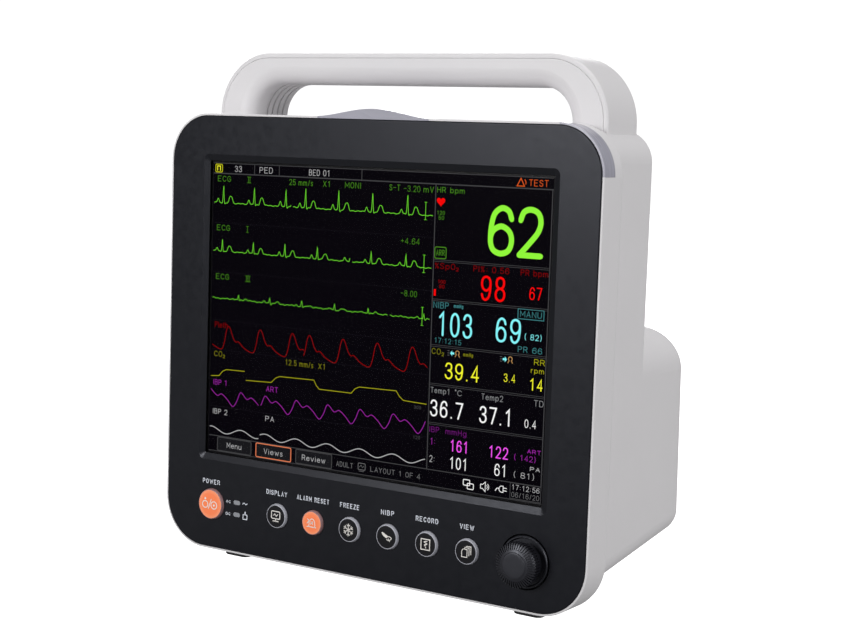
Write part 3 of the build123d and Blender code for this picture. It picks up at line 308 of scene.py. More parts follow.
for finish_name, members in NODE_FINISHES.items():
    for member in members.split():
        nodes[member].data.materials.clear()
        nodes[member].data.materials.append(materials[finish_name])


# ------------------------------------------------------------------ building pieces
def piece(name, mesh, material, body, smooth=None):
    """Put a mesh in the scene as a piece that rides on a body."""
    made = bpy.data.objects.new(name, mesh)
    scene.collection.objects.link(made)
    mesh.materials.append(material)
    if smooth is not None:
        for face in mesh.polygons:
            face.use_smooth = True
        mesh.set_sharp_from_angle(angle=math.radians(smooth))
    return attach(made, body)


def finished(bm, name):
    """A mesh from a bmesh, with its faces turned outwards."""
    bmesh.ops.recalc_face_normals(bm, faces=bm.faces)
    mesh = bpy.data.meshes.new(name)
    bm.to_mesh(mesh)
    bm.free()
    return mesh


def rounded(points, steps=6, closed=False):
    """A smooth line through the given points."""
    count = len(points)
    spans = count if closed else count - 1
    line = []
    for i in range(spans):
        if closed:
            p0, p1, p2, p3 = (points[(i + k - 1) % count] for k in range(4))
        else:
            p0, p1, p2, p3 = (points[min(max(i + k - 1, 0), count - 1)] for k in range(4))
        for step in range(steps):
            t = step / steps
            line.append(tuple(
                0.5 * (2 * b + (c - a) * t + (2 * a - 5 * b + 4 * c - d) * t * t + (3 * b - a - 3 * c + d) * t ** 3)
                for a, b, c, d in zip(p0, p1, p2, p3)
            ))
    if not closed:
        line.append(tuple(points[-1]))
    return line


def heart(u, v, wide, tall, steps):
    """A heart's outline about (u, v)."""
    outline = []
    for i in range(steps):
        turn = 2 * math.pi * i / steps
        across = 16 * math.sin(turn) ** 3
        rise = 13 * math.cos(turn) - 5 * math.cos(2 * turn) - 2 * math.cos(3 * turn) - math.cos(4 * turn)
        outline.append((u + across * wide, v + rise * tall))
    return outline


def arc(u, v, radius, start, end, steps=16, tall=None):
    """Points on an arc about (u, v), between two angles in degrees."""
    tall = radius if tall is None else tall
    turns = [math.radians(start + (end - start) * i / steps) for i in range(steps + 1)]
    return [(u + radius * math.cos(turn), v + tall * math.sin(turn)) for turn in turns]


# Parts that several signs share, and each sign's strokes, in hundredths of its box's width and height. Before a
# stroke's points comes how they are joined: - by straight lines, ~ by a smooth line, o by a smooth closed loop.
BOWL = "50,70 85,60 96,35 85,10 50,0 13,10 2,35 13,60"
ARCH = "0,42 20,64 52,70 84,62 95,42 95,0"
HEAD = "0,0 0,100 60,100 86,93 96,74 86,55 60,48 0,48"
ROUND = "52,100 20,90 4,68 0,50 4,32 20,10 52,0"
SIGN_STROKES = {
    "0": "o 50,100 88,86 100,50 88,14 50,0 12,14 0,50 12,86",
    "1": "- 18,80 58,100 58,0",
    "2": "~ 4,76 18,94 50,100 84,93 97,74 86,52 50,28 2,0 - 2,0 100,0",
    "3": "~ 5,80 20,95 50,100 82,93 92,76 80,59 42,53 ~ 42,53 85,45 100,27 87,8 50,0 16,6 0,22",
    "4": "- 76,0 76,100 0,27 100,27",
    "5": "- 92,100 16,100 8,50 ~ 8,50 30,61 60,61 90,50 100,30 87,8 50,0 16,6 0,20",
    "6": "o 50,60 87,50 100,30 87,8 50,0 13,8 0,30 13,50 ~ 0,30 2,56 16,86 50,100 83,94 97,77",
    "7": "- 0,100 100,100 36,0",
    "8": "o 50,100 84,93 93,76 82,60 50,53 18,60 7,76 16,93 o 50,53 87,45 100,27 87,8 50,0 13,8 0,27 13,45",
    ".": "- 50,0 50,2",
    ":": "- 50,22 50,24 - 50,68 50,70",
    "-": "- 5,50 95,50",
    "+": "- 5,50 95,50 - 50,25 50,75",
    "/": "- 10,0 90,100",
    "(": "~ 80,110 45,80 35,50 45,20 80,-10",
    ")": "~ 20,110 55,80 65,50 55,20 20,-10",
    "%": "- 10,0 90,100 o 20,98 36,80 20,62 4,80 o 80,38 96,20 80,2 64,20",
    " ": "",
    "A": "- 0,0 50,100 100,0 - 18,34 82,34",
    "B": "- 0,54 60,54 82,60 90,77 82,94 60,100 0,100 0,0 60,0 88,7 98,27 88,47 60,54",
    "C": f"- 97,78 80,94 {ROUND} 80,6 97,22",
    "D": "- 0,0 0,100 50,100 76,95 93,78 100,50 93,22 76,5 50,0 0,0",
    "E": "- 95,100 0,100 0,0 95,0 - 0,52 80,52",
    "F": "- 95,100 0,100 0,0 - 0,52 80,52",
    "G": f"- 95,80 78,95 {ROUND} 82,6 100,20 100,48 58,48",
    "H": "- 0,0 0,100 - 100,0 100,100 - 0,52 100,52",
    "I": "- 50,0 50,100",
    "L": "- 0,100 0,0 92,0",
    "M": "- 0,0 0,100 50,30 100,100 100,0",
    "N": "- 0,0 0,100 100,0 100,100",
    "P": f"- {HEAD}",
    "R": f"- {HEAD} - 55,48 100,0",
    "S": "- 93,80 78,94 50,100 18,94 5,76 18,60 52,51 84,42 97,25 82,6 50,0 18,5 2,21",
    "T": "- 0,100 100,100 - 50,100 50,0",
    "U": "- 0,100 0,34 7,14 24,2 50,0 76,2 93,14 100,34 100,100",
    "V": "- 0,100 50,0 100,100",
    "W": "- 0,100 25,0 50,80 75,0 100,100",
    "X": "- 0,0 100,100 - 0,100 100,0",
    "Y": "- 0,100 50,50 100,100 - 50,50 50,0",
    "Z": "- 2,100 100,100 0,0 100,0",
    "b": f"- {BOWL} 50,70 - 2,100 2,0",
    "e": "- 2,37 95,37 86,60 50,70 13,60 0,35 13,10 50,0 80,4 93,15",
    "g": f"- {BOWL} 50,70 - 97,70 97,-8 85,-22 50,-27 12,-20",
    "h": f"- 0,0 0,100 - {ARCH}",
    "i": "- 50,0 50,70 - 50,94 50,96",
    "l": "- 50,0 50,100",
    "m": "- 0,0 0,70 - 0,42 10,64 26,70 42,62 47.5,42 47.5,0 - 47.5,42 57.5,64 73.5,70 89.5,62 95,42 95,0",
    "n": f"- 0,0 0,70 - {ARCH}",
    "p": f"- {BOWL} 50,70 - 2,70 2,-28",
    "r": "- 0,0 0,70 - 0,42 30,64 85,70",
    "s": "- 90,58 72,68 45,70 12,62 12,44 45,36 85,28 92,10 60,0 28,1 2,12",
    "t": "- 40,95 40,15 58,1 90,2 - 0,70 85,70",
    "u": "- 0,70 0,22 14,4 45,0 80,8 95,28 - 95,70 95,0",
    "v": "- 0,70 50,0 100,70",
    "w": "- 0,70 25,0 50,60 75,0 100,70",
    "z": "- 5,70 95,70 2,0 97,0",
}


def strokes(text):
    """A sign's strokes, as pairs of the mark and the points."""
    found = []
    for word in text.split():
        if "," in word:
            found[-1][1].append(tuple(float(number) / 100 for number in word.split(",")))
        else:
            found.append((word, []))
    return found


SIGNS = {sign: strokes(text) for sign, text in SIGN_STROKES.items()}
SIGNS["9"] = [(mark, [(1 - u, 1 - v) for u, v in points]) for mark, points in SIGNS["6"]]
SIGNS["O"] = SIGNS["0"]
SIGN_WIDTHS = {".": 0.4, ":": 0.5, " ": 0.5, "(": 0.6, ")": 0.6, "I": 0.25, "i": 0.25, "l": 0.25, "r": 0.6, "t": 0.6,
               "M": 1.2, "W": 1.4, "m": 1.4, "w": 1.2, "/": 0.7, "s": 0.8}
# Stroke widths, in millimetres.
TINY, HAIR, FINE, TRACE = 0.24, 0.26, 0.32, 0.38


class Drawing:
    """Flat shapes of one colour, on a plane given by its origin and its two directions, gathered in one mesh."""

    def __init__(self, origin, along, up, thick=0.04):
        self.origin = origin
        self.along = along
        self.up = up
        self.thick = thick
        self.bm = bmesh.new()

    def at(self, u, v):
        return self.origin + (self.along * u + self.up * v) * MM

    def shape(self, points):
        self.bm.faces.new([self.bm.verts.new(self.at(u, v)) for u, v in points])

    def rect(self, u, v):
        self.shape([(u[0], v[0]), (u[1], v[0]), (u[1], v[1]), (u[0], v[1])])

    def disc(self, u, v, radius, tall=None):
        self.shape(arc(u, v, radius, 0, 360 - 15, 23, tall))

    def line(self, points, width, closed=False):
        """A band of even width along a line of points, with round ends."""
        count = len(points)
        half = width / 2
        left, right = [], []
        for i, (u, v) in enumerate(points):
            before = points[(i - 1) % count] if closed or i > 0 else points[i]
            after = points[(i + 1) % count] if closed or i < count - 1 else points[i]
            into = Vector((u - before[0], v - before[1]))
            out = Vector((after[0] - u, after[1] - v))
            into = into.normalized() if into.length > 1e-9 else out.normalized()
            out = out.normalized() if out.length > 1e-9 else into
            normal = Vector((-into.y - out.y, into.x + out.x))
            normal = normal.normalized() if normal.length > 0.2 else Vector((-into.y, into.x))
            reach = half / max(0.45, normal.dot(Vector((-into.y, into.x))))
            left.append(self.bm.verts.new(self.at(u + normal.x * reach, v + normal.y * reach)))
            right.append(self.bm.verts.new(self.at(u - normal.x * reach, v - normal.y * reach)))
        for i in range(count if closed else count - 1):
            k = (i + 1) % count
            self.bm.faces.new([left[i], left[k], right[k], right[i]])
        if not closed:
            self.cap(points[0], points[1], left[0], right[0], half)
            self.cap(points[-1], points[-2], right[-1], left[-1], half)

    def cap(self, end, inner, first, last, half):
        """A round end from one edge of a band to the other."""
        away = math.degrees(math.atan2(end[1] - inner[1], end[0] - inner[0]))
        turn = arc(end[0], end[1], half, away + 90, away - 90, 6)[1:-1]
        between = [self.bm.verts.new(self.at(u, v)) for u, v in turn]
        self.bm.faces.new([last, *reversed(between), first])

    def box(self, u, v, width, radius=0.0):
        """A rectangle's outline."""
        if radius:
            corners = (arc(u[1] - radius, v[1] - radius, radius, 0, 90, 4)
                       + arc(u[0] + radius, v[1] - radius, radius, 90, 180, 4)
                       + arc(u[0] + radius, v[0] + radius, radius, 180, 270, 4)
                       + arc(u[1] - radius, v[0] + radius, radius, 270, 360, 4))
        else:
            corners = [(u[0], v[0]), (u[1], v[0]), (u[1], v[1]), (u[0], v[1])]
        self.line(corners, width, closed=True)

    def write(self, text, u, v, width=FINE, gap=0.32):
        """Letters and numerals in round-ended strokes that fill a box."""
        shares = [SIGN_WIDTHS.get(sign, 1.0) for sign in text]
        unit = (u[1] - u[0]) / (sum(shares) + gap * (len(text) - 1))
        start = u[0]
        low, tall = v[0] + width / 2, v[1] - v[0] - width
        for sign, share in zip(text, shares):
            wide = unit * share - width
            for mark, points in SIGNS[sign]:
                placed = [(start + width / 2 + a * wide, low + b * tall) for a, b in points]
                if mark == "o":
                    self.line(rounded(placed, 4, closed=True), width, closed=True)
                else:
                    self.line(rounded(placed, 4) if mark == "~" else placed, width)
            start += unit * (share + gap)

    def words(self, v, items, width=FINE):
        """Several words on one line, each with the limits of its box."""
        for text, start, end in items:
            self.write(text, (start, end), v, width)

    def build(self, name, material, body, slot=None):
        """Give the flat shapes their thickness, towards the side that they are seen from."""
        lift = self.along.cross(self.up) * self.thick * MM
        grown = bmesh.ops.extrude_face_region(self.bm, geom=list(self.bm.faces))
        raised = [item for item in grown["geom"] if isinstance(item, bmesh.types.BMVert)]
        bmesh.ops.translate(self.bm, verts=raised, vec=lift)
        return piece(name, finished(self.bm, name), material, body)


RIGHT, UP, BACK = Vector((1, 0, 0)), Vector((0, 0, 1)), Vector((0, 1, 0))


def on_front(depth, thick=0.04):
    """A drawing that faces the viewer."""
    return Drawing(spot(0, depth, 0), RIGHT, UP, thick)


def on_left(x, thick=0.04):
    """A drawing on the side with the sockets; its u runs forwards, so a depth is given as its negative."""
    return Drawing(spot(x, 0, 0), -BACK, UP, thick)


def on_rear(depth, thick=0.04):
    """A drawing on the back; its u runs towards the viewer's left, so an x is given as its negative."""
    return Drawing(spot(0, depth, 0), -RIGHT, UP, thick)


def lathe(name, centre, axis, profile, material, body, segments=64, smooth=40):
    """A turned piece: (radius, distance along the axis) pairs, in millimetres, about a centre."""
    bm = bmesh.new()
    axis = axis.normalized()
    first = axis.orthogonal().normalized()
    second = axis.cross(first)
    rings = []
    for radius, along in profile:
        if radius < 1e-6:
            rings.append([bm.verts.new(centre + axis * along * MM)])
            continue
        ring = []
        for step in range(segments):
            turn = 2 * math.pi * step / segments
            out = first * math.cos(turn) + second * math.sin(turn)
            ring.append(bm.verts.new(centre + (out * radius + axis * along) * MM))
        rings.append(ring)
    for one, two in zip(rings, rings[1:]):
        for step in range(segments):
            after = (step + 1) % segments
            corners = [one[step % len(one)], one[after % len(one)], two[after % len(two)], two[step % len(two)]]
            distinct = list(dict.fromkeys(corners))
            if len(distinct) > 2:
                bm.faces.new(distinct)
    return piece(name, finished(bm, name), material, body, smooth)


# ------------------------------------------------------------------ camera and studio
def camera():
    """The viewer stands to the right of the screen and a little above its middle."""
    ahead = Vector((-0.54403, 0.83251, -0.10471)).normalized()
    right = Vector((0.83478, 0.54962, 0.03264)).normalized()
    upward = right.cross(ahead)
    data = bpy.data.cameras.new("camera")
    data.lens = 71.9
    data.sensor_width = 36.0
    data.shift_y = -0.0015
    data.clip_start = 0.05
    data.clip_end = 50.0
    eye = bpy.data.objects.new("camera", data)
    scene.collection.objects.link(eye)
    turn = Matrix((right, upward, -ahead)).transposed().to_4x4()
    eye.matrix_world = Matrix.Translation(spot(583.93, -827.12, 265.46)) @ turn
    scene.camera = eye


def softbox(name, place, aim, size, energy, colour=(1.0, 1.0, 1.0)):
    data = bpy.data.lights.new(name, "AREA")
    data.shape = "RECTANGLE"
    data.size, data.size_y = size
    data.energy = energy
    data.color = colour
    lamp = bpy.data.objects.new(name, data)
    scene.collection.objects.link(lamp)
    lamp.location = place
    lamp.rotation_mode = "QUATERNION"
    lamp.rotation_quaternion = (Vector(aim) - Vector(place)).to_track_quat("-Z", "Y")


def bright_to_camera(tree, seen, lighting):
    """A number that is one value where the camera looks straight at it, and another as a source of light."""
    path = tree.nodes.new("ShaderNodeLightPath")
    node = tree.nodes.new("ShaderNodeMapRange")
    node.inputs["To Min"].default_value = lighting
    node.inputs["To Max"].default_value = seen
    tree.links.new(path.outputs["Is Camera Ray"], node.inputs["Value"])
    return node.outputs["Result"]


def studio():
    """A white table in a white room, a large soft light high on the left and a weak one on the right."""
    world = bpy.data.worlds.new("studio")
    scene.world = world
    world.use_nodes = True
    background = world.node_tree.nodes["Background"]
    background.inputs["Color"].default_value = (1.0, 1.0, 1.0, 1.0)
    strength = bright_to_camera(world.node_tree, 1.1, 0.22)
    world.node_tree.links.new(strength, background.inputs["Strength"])

    bm = bmesh.new()
    bmesh.ops.create_circle(bm, cap_ends=True, segments=96, radius=6.0)
    mesh = bpy.data.meshes.new("table")
    bm.to_mesh(mesh)
    bm.free()
    table = bpy.data.objects.new("table", mesh)
    scene.collection.objects.link(table)
    paint = bpy.data.materials.new("table_paint")
    paint.use_nodes = True
    shader = paint.node_tree.nodes["Principled BSDF"]
    shader.inputs["Base Color"].default_value = (0.3, 0.3, 0.3, 1.0)
    shader.inputs["Roughness"].default_value = 0.9
    shader.inputs["Emission Color"].default_value = (1.0, 1.0, 1.0, 1.0)
    lit = bright_to_camera(paint.node_tree, 1.4, 0.05)
    paint.node_tree.links.new(lit, shader.inputs["Emission Strength"])
    mesh.materials.append(paint)

    softbox("key_light", (-0.66, -1.92, 0.74), (0, 0, 0.2), (0.8, 0.8), 24)
    softbox("top_light", (0.1, 0.2, 2.0), (0, 0, 0.2), (1.6, 1.2), 13)
    softbox("right_light", (2.2, -0.3, 0.9), (0.1, 0, 0.15), (0.8, 1.4), 21)
    softbox("rear_light", (-1.3, 1.9, 0.9), (0, 0, 0.15), (1.2, 1.2), 24)
    scene.view_settings.view_transform = "Standard"


camera()
studio()


# ------------------------------------------------------------------ what the display shows
LIT = {name: shade(*levels) for name, levels in {
    "grey": (66, 66, 68), "dim": (110, 110, 112), "silver": (142, 144, 146), "text": (188, 188, 190),
    "white": (252, 252, 252), "faint": (24, 22, 28), "fill": (26, 26, 29), "lime": (150, 255, 62),
    "green": (112, 222, 50), "leaf": (74, 140, 30), "red": (255, 6, 6), "wine": (150, 4, 4), "maroon": (132, 0, 0),
    "yellow": (250, 250, 48), "olive": (176, 176, 20), "moss": (128, 128, 18), "cyan": (138, 250, 255),
    "teal": (66, 138, 142), "magenta": (250, 88, 250), "violet": (160, 40, 170), "plum": (112, 24, 120),
    "orange": (232, 92, 30), "amber": (200, 152, 92), "coral": (232, 128, 86),
}.items()}
LCD_FRONT = limits("lcd_panel")[0].y
SWEEP_START, SWEEP_END = -122.0, 43.3
drawings = {name: on_front(LCD_FRONT - 0.1) for name in LIT}
drawings["fill"] = on_front(LCD_FRONT - 0.03)


def lit(name):
    return drawings[name]


def bump_at(x, centre, width, sharp=2):
    """A bell-shaped hump of height 1."""
    return math.exp(-abs((x - centre) / width) ** sharp)


def heart_trace(beats, base, tops, start, end, ripple=0.16):
    """An electrocardiogram: before each beat's spike a small wave, after it a dip and a broader wave."""
    small, spike, broad, dip = tops
    points = []
    steps = int((end - start) / 0.3)
    for i in range(steps + 1):
        x = start + (end - start) * i / steps
        v = base + ripple * (math.sin(x * 1.7) + 0.75 * math.sin(x * 0.61))
        for beat in beats:
            v += small * bump_at(x, beat - 4.3, 0.9)
            v += spike * bump_at(x, beat, 0.42, 1.6)
            v += broad * bump_at(x, beat + 6.0, 1.7, 3)
            v -= dip * bump_at(x, beat + 1.1, 0.5)
        points.append((x, v))
    return points


def wave(shape, crests, start, end):
    """A repeated pulse: offsets and heights about each crest, cut to the sweep."""
    points = sorted({(round(crest + du, 2), v) for crest in crests for du, v in shape})
    line = rounded(points, 5)
    return [point for point in line if start <= point[0] <= end]


def calibration(x, v):
    """The bar that shows the height of one millivolt."""
    green = lit("green")
    green.line([(x, v[0]), (x, v[1])], FINE)
    for end in v:
        green.line([(x - 0.8, end), (x + 0.8, end)], HAIR)


def lead_sign(count, x, v):
    """A lead's Roman number, with bars above and below."""
    leaf = lit("leaf")
    pitch = 1.15
    end = x + pitch * count + 0.6
    for height in (v, v + 3.6):
        leaf.line([(x, height), (end, height)], HAIR)
    for step in range(count):
        across = x + 0.9 + pitch * step
        leaf.line([(across, v), (across, v + 3.6)], HAIR)


def top_bar():
    grey, text = lit("grey"), lit("text")
    grey.line([(-122.6, 246.3), (122.6, 246.3)], 0.4)
    grey.line([(-122.6, 239.9), (122.6, 239.9)], 0.7)
    for x in (-90.0, -70.5, -8.0):
        grey.line([(x, 240.2), (x, 246.0)], 0.5)
    lit("olive").box((-121.4, -116.0), (240.7, 245.5), 0.7, 0.8)
    lit("yellow").line([(-119.9, 241.8), (-119.9, 244.4), (-117.6, 244.4), (-117.6, 241.8)], 0.6)
    text.write("33", (-105.8, -100.2), (241.2, 245.0))
    text.words((241.2, 244.9), (("PED", -86.0, -75.6), ("BED 01", -47.5, -31.5)))
    warn = lit("orange")
    warn.line([(99.2, 241.1), (101.6, 245.4), (104.0, 241.1)], 0.5, closed=True)
    warn.line(arc(102.6, 243.0, 2.3, 50, -20, 6), 0.4)
    warn.write("TEST", (106.9, 119.4), (241.3, 245.0))


def dividers():
    """The dark lines between the rows of curves."""
    for v in (208.8, 177.7, 146.8, 128.0, 91.3):
        lit("faint").line([(SWEEP_START, v), (44.0, v)], HAIR)


def electrocardiogram():
    leaf, green = lit("leaf"), lit("green")
    for count, v in ((2, 234.8), (1, 203.9), (3, 172.9)):
        leaf.write("ECG", (-119.5, -108.9), (v, v + 3.6))
        lead_sign(count, -95.6, v)
    leaf.words((234.8, 238.4), (("25 mm/s", -62.5, -44.3), ("X1", -36.6, -30.8), ("MONI", -20.2, -8.4),
                                ("S-T", 12.2, 19.8)))
    leaf.write("-3.20", (22.4, 34.0), (234.6, 238.2), HAIR)
    leaf.write("mV", (36.4, 43.5), (234.6, 238.2))
    leaf.write("+4.64", (21.4, 34.8), (203.9, 207.5), HAIR)
    leaf.write("-8.00", (22.5, 34.0), (173.0, 176.6), HAIR)
    tops = (2.8, 11.8, 4.4, 0.8)
    green.line(heart_trace([-114.6, -89.7, -64.8], 221.4, tops, SWEEP_START, -60.8), TRACE)
    green.line(heart_trace([-49.6, -24.6, 0.4, 25.5], 221.4, tops, -58.9, SWEEP_END), TRACE)
    tops = (2.2, 7.7, 3.5, 0.5)
    green.line(heart_trace([-114.8, -89.7, -64.7, -39.7, -14.7], 190.8, tops, SWEEP_START, -15.2), TRACE)
    green.line(heart_trace([0.4, 25.5], 190.8, tops, -13.2, SWEEP_END), TRACE)
    tops = (0.8, 3.5, 1.0, 0.7)
    beats = [-100.8 + 25.05 * step for step in range(5)]
    green.line(heart_trace(beats, 160.8, tops, SWEEP_START, 13.4, 0.26), FINE)
    green.line(heart_trace([39.4], 160.8, tops, 15.4, SWEEP_END, 0.26), FINE)
    for x, v in ((38.3, (218.8, 229.0)), (38.3, (187.9, 198.2)), (38.2, (156.8, 167.5))):
        calibration(x, v)


def pulse_and_breath():
    lit("maroon").write("Pleth", (-119.6, -109.0), (142.0, 145.7))
    shape = [(-5.2, 128.7), (-3.4, 132.6), (-1.6, 140.8), (0.0, 143.4), (1.7, 141.4), (3.8, 136.6), (6.0, 133.9),
             (8.4, 134.2), (12.5, 130.9), (17.2, 128.8)]
    lit("wine").line(wave(shape, [-133.8, -108.3, -82.6, -57.2], SWEEP_START, -47.4), TRACE)
    lit("wine").line(wave(shape, [-44.0, -18.5, 6.9, 32.2], -48.6, SWEEP_END), TRACE)

    moss = lit("moss")
    moss.words((123.4, 126.9), (("CO", -119.8, -113.2), ("12.5 mm/s", -62.3, -40.5), ("X1", -36.6, -31.0)))
    moss.write("2", (-112.6, -110.9), (122.7, 124.9))
    newest = [(SWEEP_START, 110.5), (-115.3, 111.2), (-112.6, 114.2), (-109.5, 115.6), (-94.6, 116.0)]
    oldest = [(-93.2, 110.4), (-73.0, 111.2), (-69.8, 114.2), (-66.5, 115.6), (-39.8, 116.2), (-37.8, 113.0),
              (-35.5, 111.0), (-11.3, 111.2), (-8.6, 114.2), (-5.5, 115.6), (21.5, 116.2), (24.0, 113.0),
              (27.0, 111.0), (43.2, 110.6)]
    for sweep in (newest, oldest):
        lit("olive").line(sweep, TRACE)
    lit("grey").write("300", (34.5, 39.5), (107.0, 109.0), HAIR)


def pressure_traces():
    violet = lit("violet")
    violet.words((105.1, 108.6), (("IBP 1", -120.0, -108.5), ("ART", -76.8, -67.5)))
    shape = [(0.0, 102.1), (5.0, 98.3), (8.8, 99.6), (13.6, 96.4), (18.0, 92.5), (21.2, 96.0)]
    violet.line(wave(shape, [-121.7, -97.3, -72.9], SWEEP_START, -82.4), TRACE)
    violet.line(wave(shape, [-101.9, -77.5, -53.1, -28.8, -4.5, 19.8, 44.2], -81.1, 43.4), TRACE)
    lit("grey").write("120", (34.5, 39.5), (89.0, 91.0), HAIR)
    text = lit("text")
    text.words((86.3, 89.7), (("IBP 2", -120.0, -108.0), ("PA", -77.0, -70.0)))
    period = 24.4
    for start, end, crest in ((SWEEP_START, -82.5, -96.6), (-81.0, SWEEP_END, -77.0)):
        steps = int(end - start)
        line = [start + (end - start) * i / steps for i in range(steps + 1)]
        text.line([(x, 76.1 + 1.85 * math.cos((x - crest) / period * 2 * math.pi)) for x in line], 0.5)


def bottom_bar():
    grey, text = lit("grey"), lit("text")
    grey.line([(-122.4, 72.2), (122.4, 72.2)], 0.5)
    grey.line([(-122.6, 62.4), (122.6, 62.4)], 0.4)
    for name, u, colour in (("Menu", (-115.6, -88.0), "grey"), ("Views", (-84.0, -56.2), "coral"),
                            ("Review", (-52.3, -24.6), "grey")):
        lit("fill").rect(u, (62.9, 71.6))
        lit(colour).box(u, (62.9, 71.6), 0.6, 0.9)
        centre = sum(u) / 2
        half = len(name) * 1.5
        text.write(name, (centre - half, centre + half), (65.4, 68.9))
    dim = lit("dim")
    dim.words((65.2, 68.4), (("ADULT", -21.0, -8.5), ("LAYOUT 1 OF 4", 4.5, 40.5)))
    dim.box((-4.6, 0.6), (65.3, 69.3), 0.4, 0.7)
    dim.line([(-3.6, 67.0), (-2.4, 68.2), (-1.4, 66.6), (-0.4, 67.8)], HAIR)
    dim.line([(-3.8, 64.4), (-0.2, 64.4)], HAIR)
    cream = lit("white")
    cream.box((70.6, 75.0), (66.3, 69.6), 0.5, 0.5)
    cream.box((73.4, 77.6), (64.3, 67.6), 0.5, 0.5)
    cream.line([(82.4, 66.0), (83.8, 66.0), (85.6, 64.4), (85.6, 70.0), (83.8, 68.4), (82.4, 68.4)], 0.4, closed=True)
    for reach in (1.2, 2.2):
        cream.line(arc(85.8, 67.2, reach, -50, 50, 6), 0.35)
    cream.line(rounded([(92.4, 66.0), (93.6, 67.6), (95.0, 67.4)], 4), 0.45)
    cream.line(arc(96.6, 67.4, 1.8, 90, 270, 8) + [(97.6, 65.6), (97.6, 69.2)], 0.4, closed=True)
    for v in (66.6, 68.2):
        cream.line([(97.8, v), (99.8, v)], 0.45)
    grey.box((102.2, 122.3), (63.0, 72.0), 0.4)
    text.write("17:12:56", (103.2, 121.4), (68.2, 71.2), HAIR)
    lit("dim").write("06/16/20", (103.2, 121.4), (63.9, 66.9), HAIR)


def column_frame():
    grey = lit("grey")
    for x in (44.9, 122.3):
        grey.line([(x, 72.5), (x, 239.6)], 0.6)
    for v in (195.6, 172.6, 145.8, 123.0, 99.8):
        for edge in (v - 0.5, v + 0.5):
            grey.line([(44.9, edge), (122.3, edge)], 0.3)


def heart_rate():
    leaf = lit("leaf")
    leaf.words((235.0, 238.3), (("HR", 45.9, 51.8), ("bpm", 54.8, 64.8)))
    lit("red").shape(heart(48.7, 229.9, 0.181, 0.178, 36))
    leaf.write("120", (46.2, 51.6), (222.3, 224.5), TINY)
    leaf.write("50", (47.4, 51.2), (219.4, 221.6), TINY)
    leaf.box((45.6, 53.4), (196.9, 203.5), 0.5, 1.0)
    leaf.write("ARR", (46.6, 52.4), (198.6, 202.0))
    lit("lime").write("62", (81.3, 117.6), (200.7, 229.8), 3.3, 0.1)


def oxygen():
    maroon, wine, red = lit("maroon"), lit("wine"), lit("red")
    maroon.words((190.9, 194.4), (("%SpO", 45.9, 59.9), ("PI%: 0.56", 72.4, 96.2), ("PR bpm", 103.8, 121.6)))
    maroon.write("2", (60.5, 62.4), (190.2, 192.4))
    red.write("98", (77.8, 94.2), (174.7, 189.2), 1.35)
    red.write("67", (109.9, 118.0), (177.6, 184.8), 0.66)
    wine.write("100", (48.4, 53.6), (182.4, 184.5), TINY)
    wine.write("90", (49.4, 53.0), (179.6, 181.7), TINY)
    red.rect((45.8, 47.2), (175.0, 178.8))


def cuff_pressure():
    teal, cyan = lit("teal"), lit("cyan")
    teal.write("NIBP", (45.9, 56.5), (167.9, 171.6))
    teal.write("mmHg", (60.0, 66.4), (169.0, 171.2))
    teal.box((103.0, 119.8), (166.4, 172.0), 0.4)
    teal.write("MANU", (104.4, 118.4), (167.5, 171.0))
    cyan.words((151.8, 166.1), (("103", 49.2, 73.0), ("69", 88.8, 105.3)), 1.35)
    cyan.write("( 82)", (107.6, 119.2), (154.8, 158.2))
    teal.write("17:12:15", (47.3, 65.8), (147.6, 150.6), HAIR)
    teal.write("PR 66", (103.8, 119.5), (147.4, 150.8))


def breath():
    moss, yellow, amber = lit("moss"), lit("yellow"), lit("amber")
    moss.write("CO", (45.7, 52.0), (140.8, 144.3))
    moss.write("2", (52.6, 54.3), (140.1, 142.3))
    for x, way in ((56.8, -1), (92.4, 1)):
        for v in (141.1, 142.4, 143.7):
            lit("dim").line([(x, v), (x + 1.1, v)], HAIR)
        hub, reach = x + 3.1, 1.4 * way
        lit("cyan").shape([(hub + reach, 142.4), (hub, 144.0), (hub, 143.0), (hub - reach, 143.0),
                           (hub - reach, 141.8), (hub, 141.8), (hub, 140.8)][::-way])
        amber.line([(x + 5.2, 140.6), *arc(x + 6.7, 142.9, 1.25, 235, -55, 10), (x + 8.2, 140.6)], 0.42)
    moss.write("mmHg", (67.5, 74.2), (141.4, 143.6))
    lit("olive").write("RR", (114.7, 121.6), (141.0, 144.4))
    lit("olive").write("rpm", (112.8, 121.4), (136.3, 139.4))
    yellow.write("39.4", (55.3, 78.7), (127.0, 136.8), 0.95)
    yellow.write("3.4", (95.2, 102.8), (129.5, 134.3), 0.4)
    yellow.write("14", (112.2, 120.8), (126.4, 133.3), 0.7)


def temperature():
    silver, white = lit("silver"), lit("white")
    silver.words((117.9, 121.3), (("Temp1", 45.9, 59.4), ("C", 64.4, 67.5)))
    silver.disc(63.2, 121.0, 0.5)
    silver.write("Temp2", (80.8, 95.3), (117.7, 121.2))
    silver.write("TD", (115.5, 121.8), (117.6, 121.2))
    white.words((104.0, 114.0), (("36.7", 45.9, 68.7), ("37.1", 79.8, 101.8)), 1.0)
    white.write("0.4", (110.0, 117.5), (104.7, 109.6), 0.4)


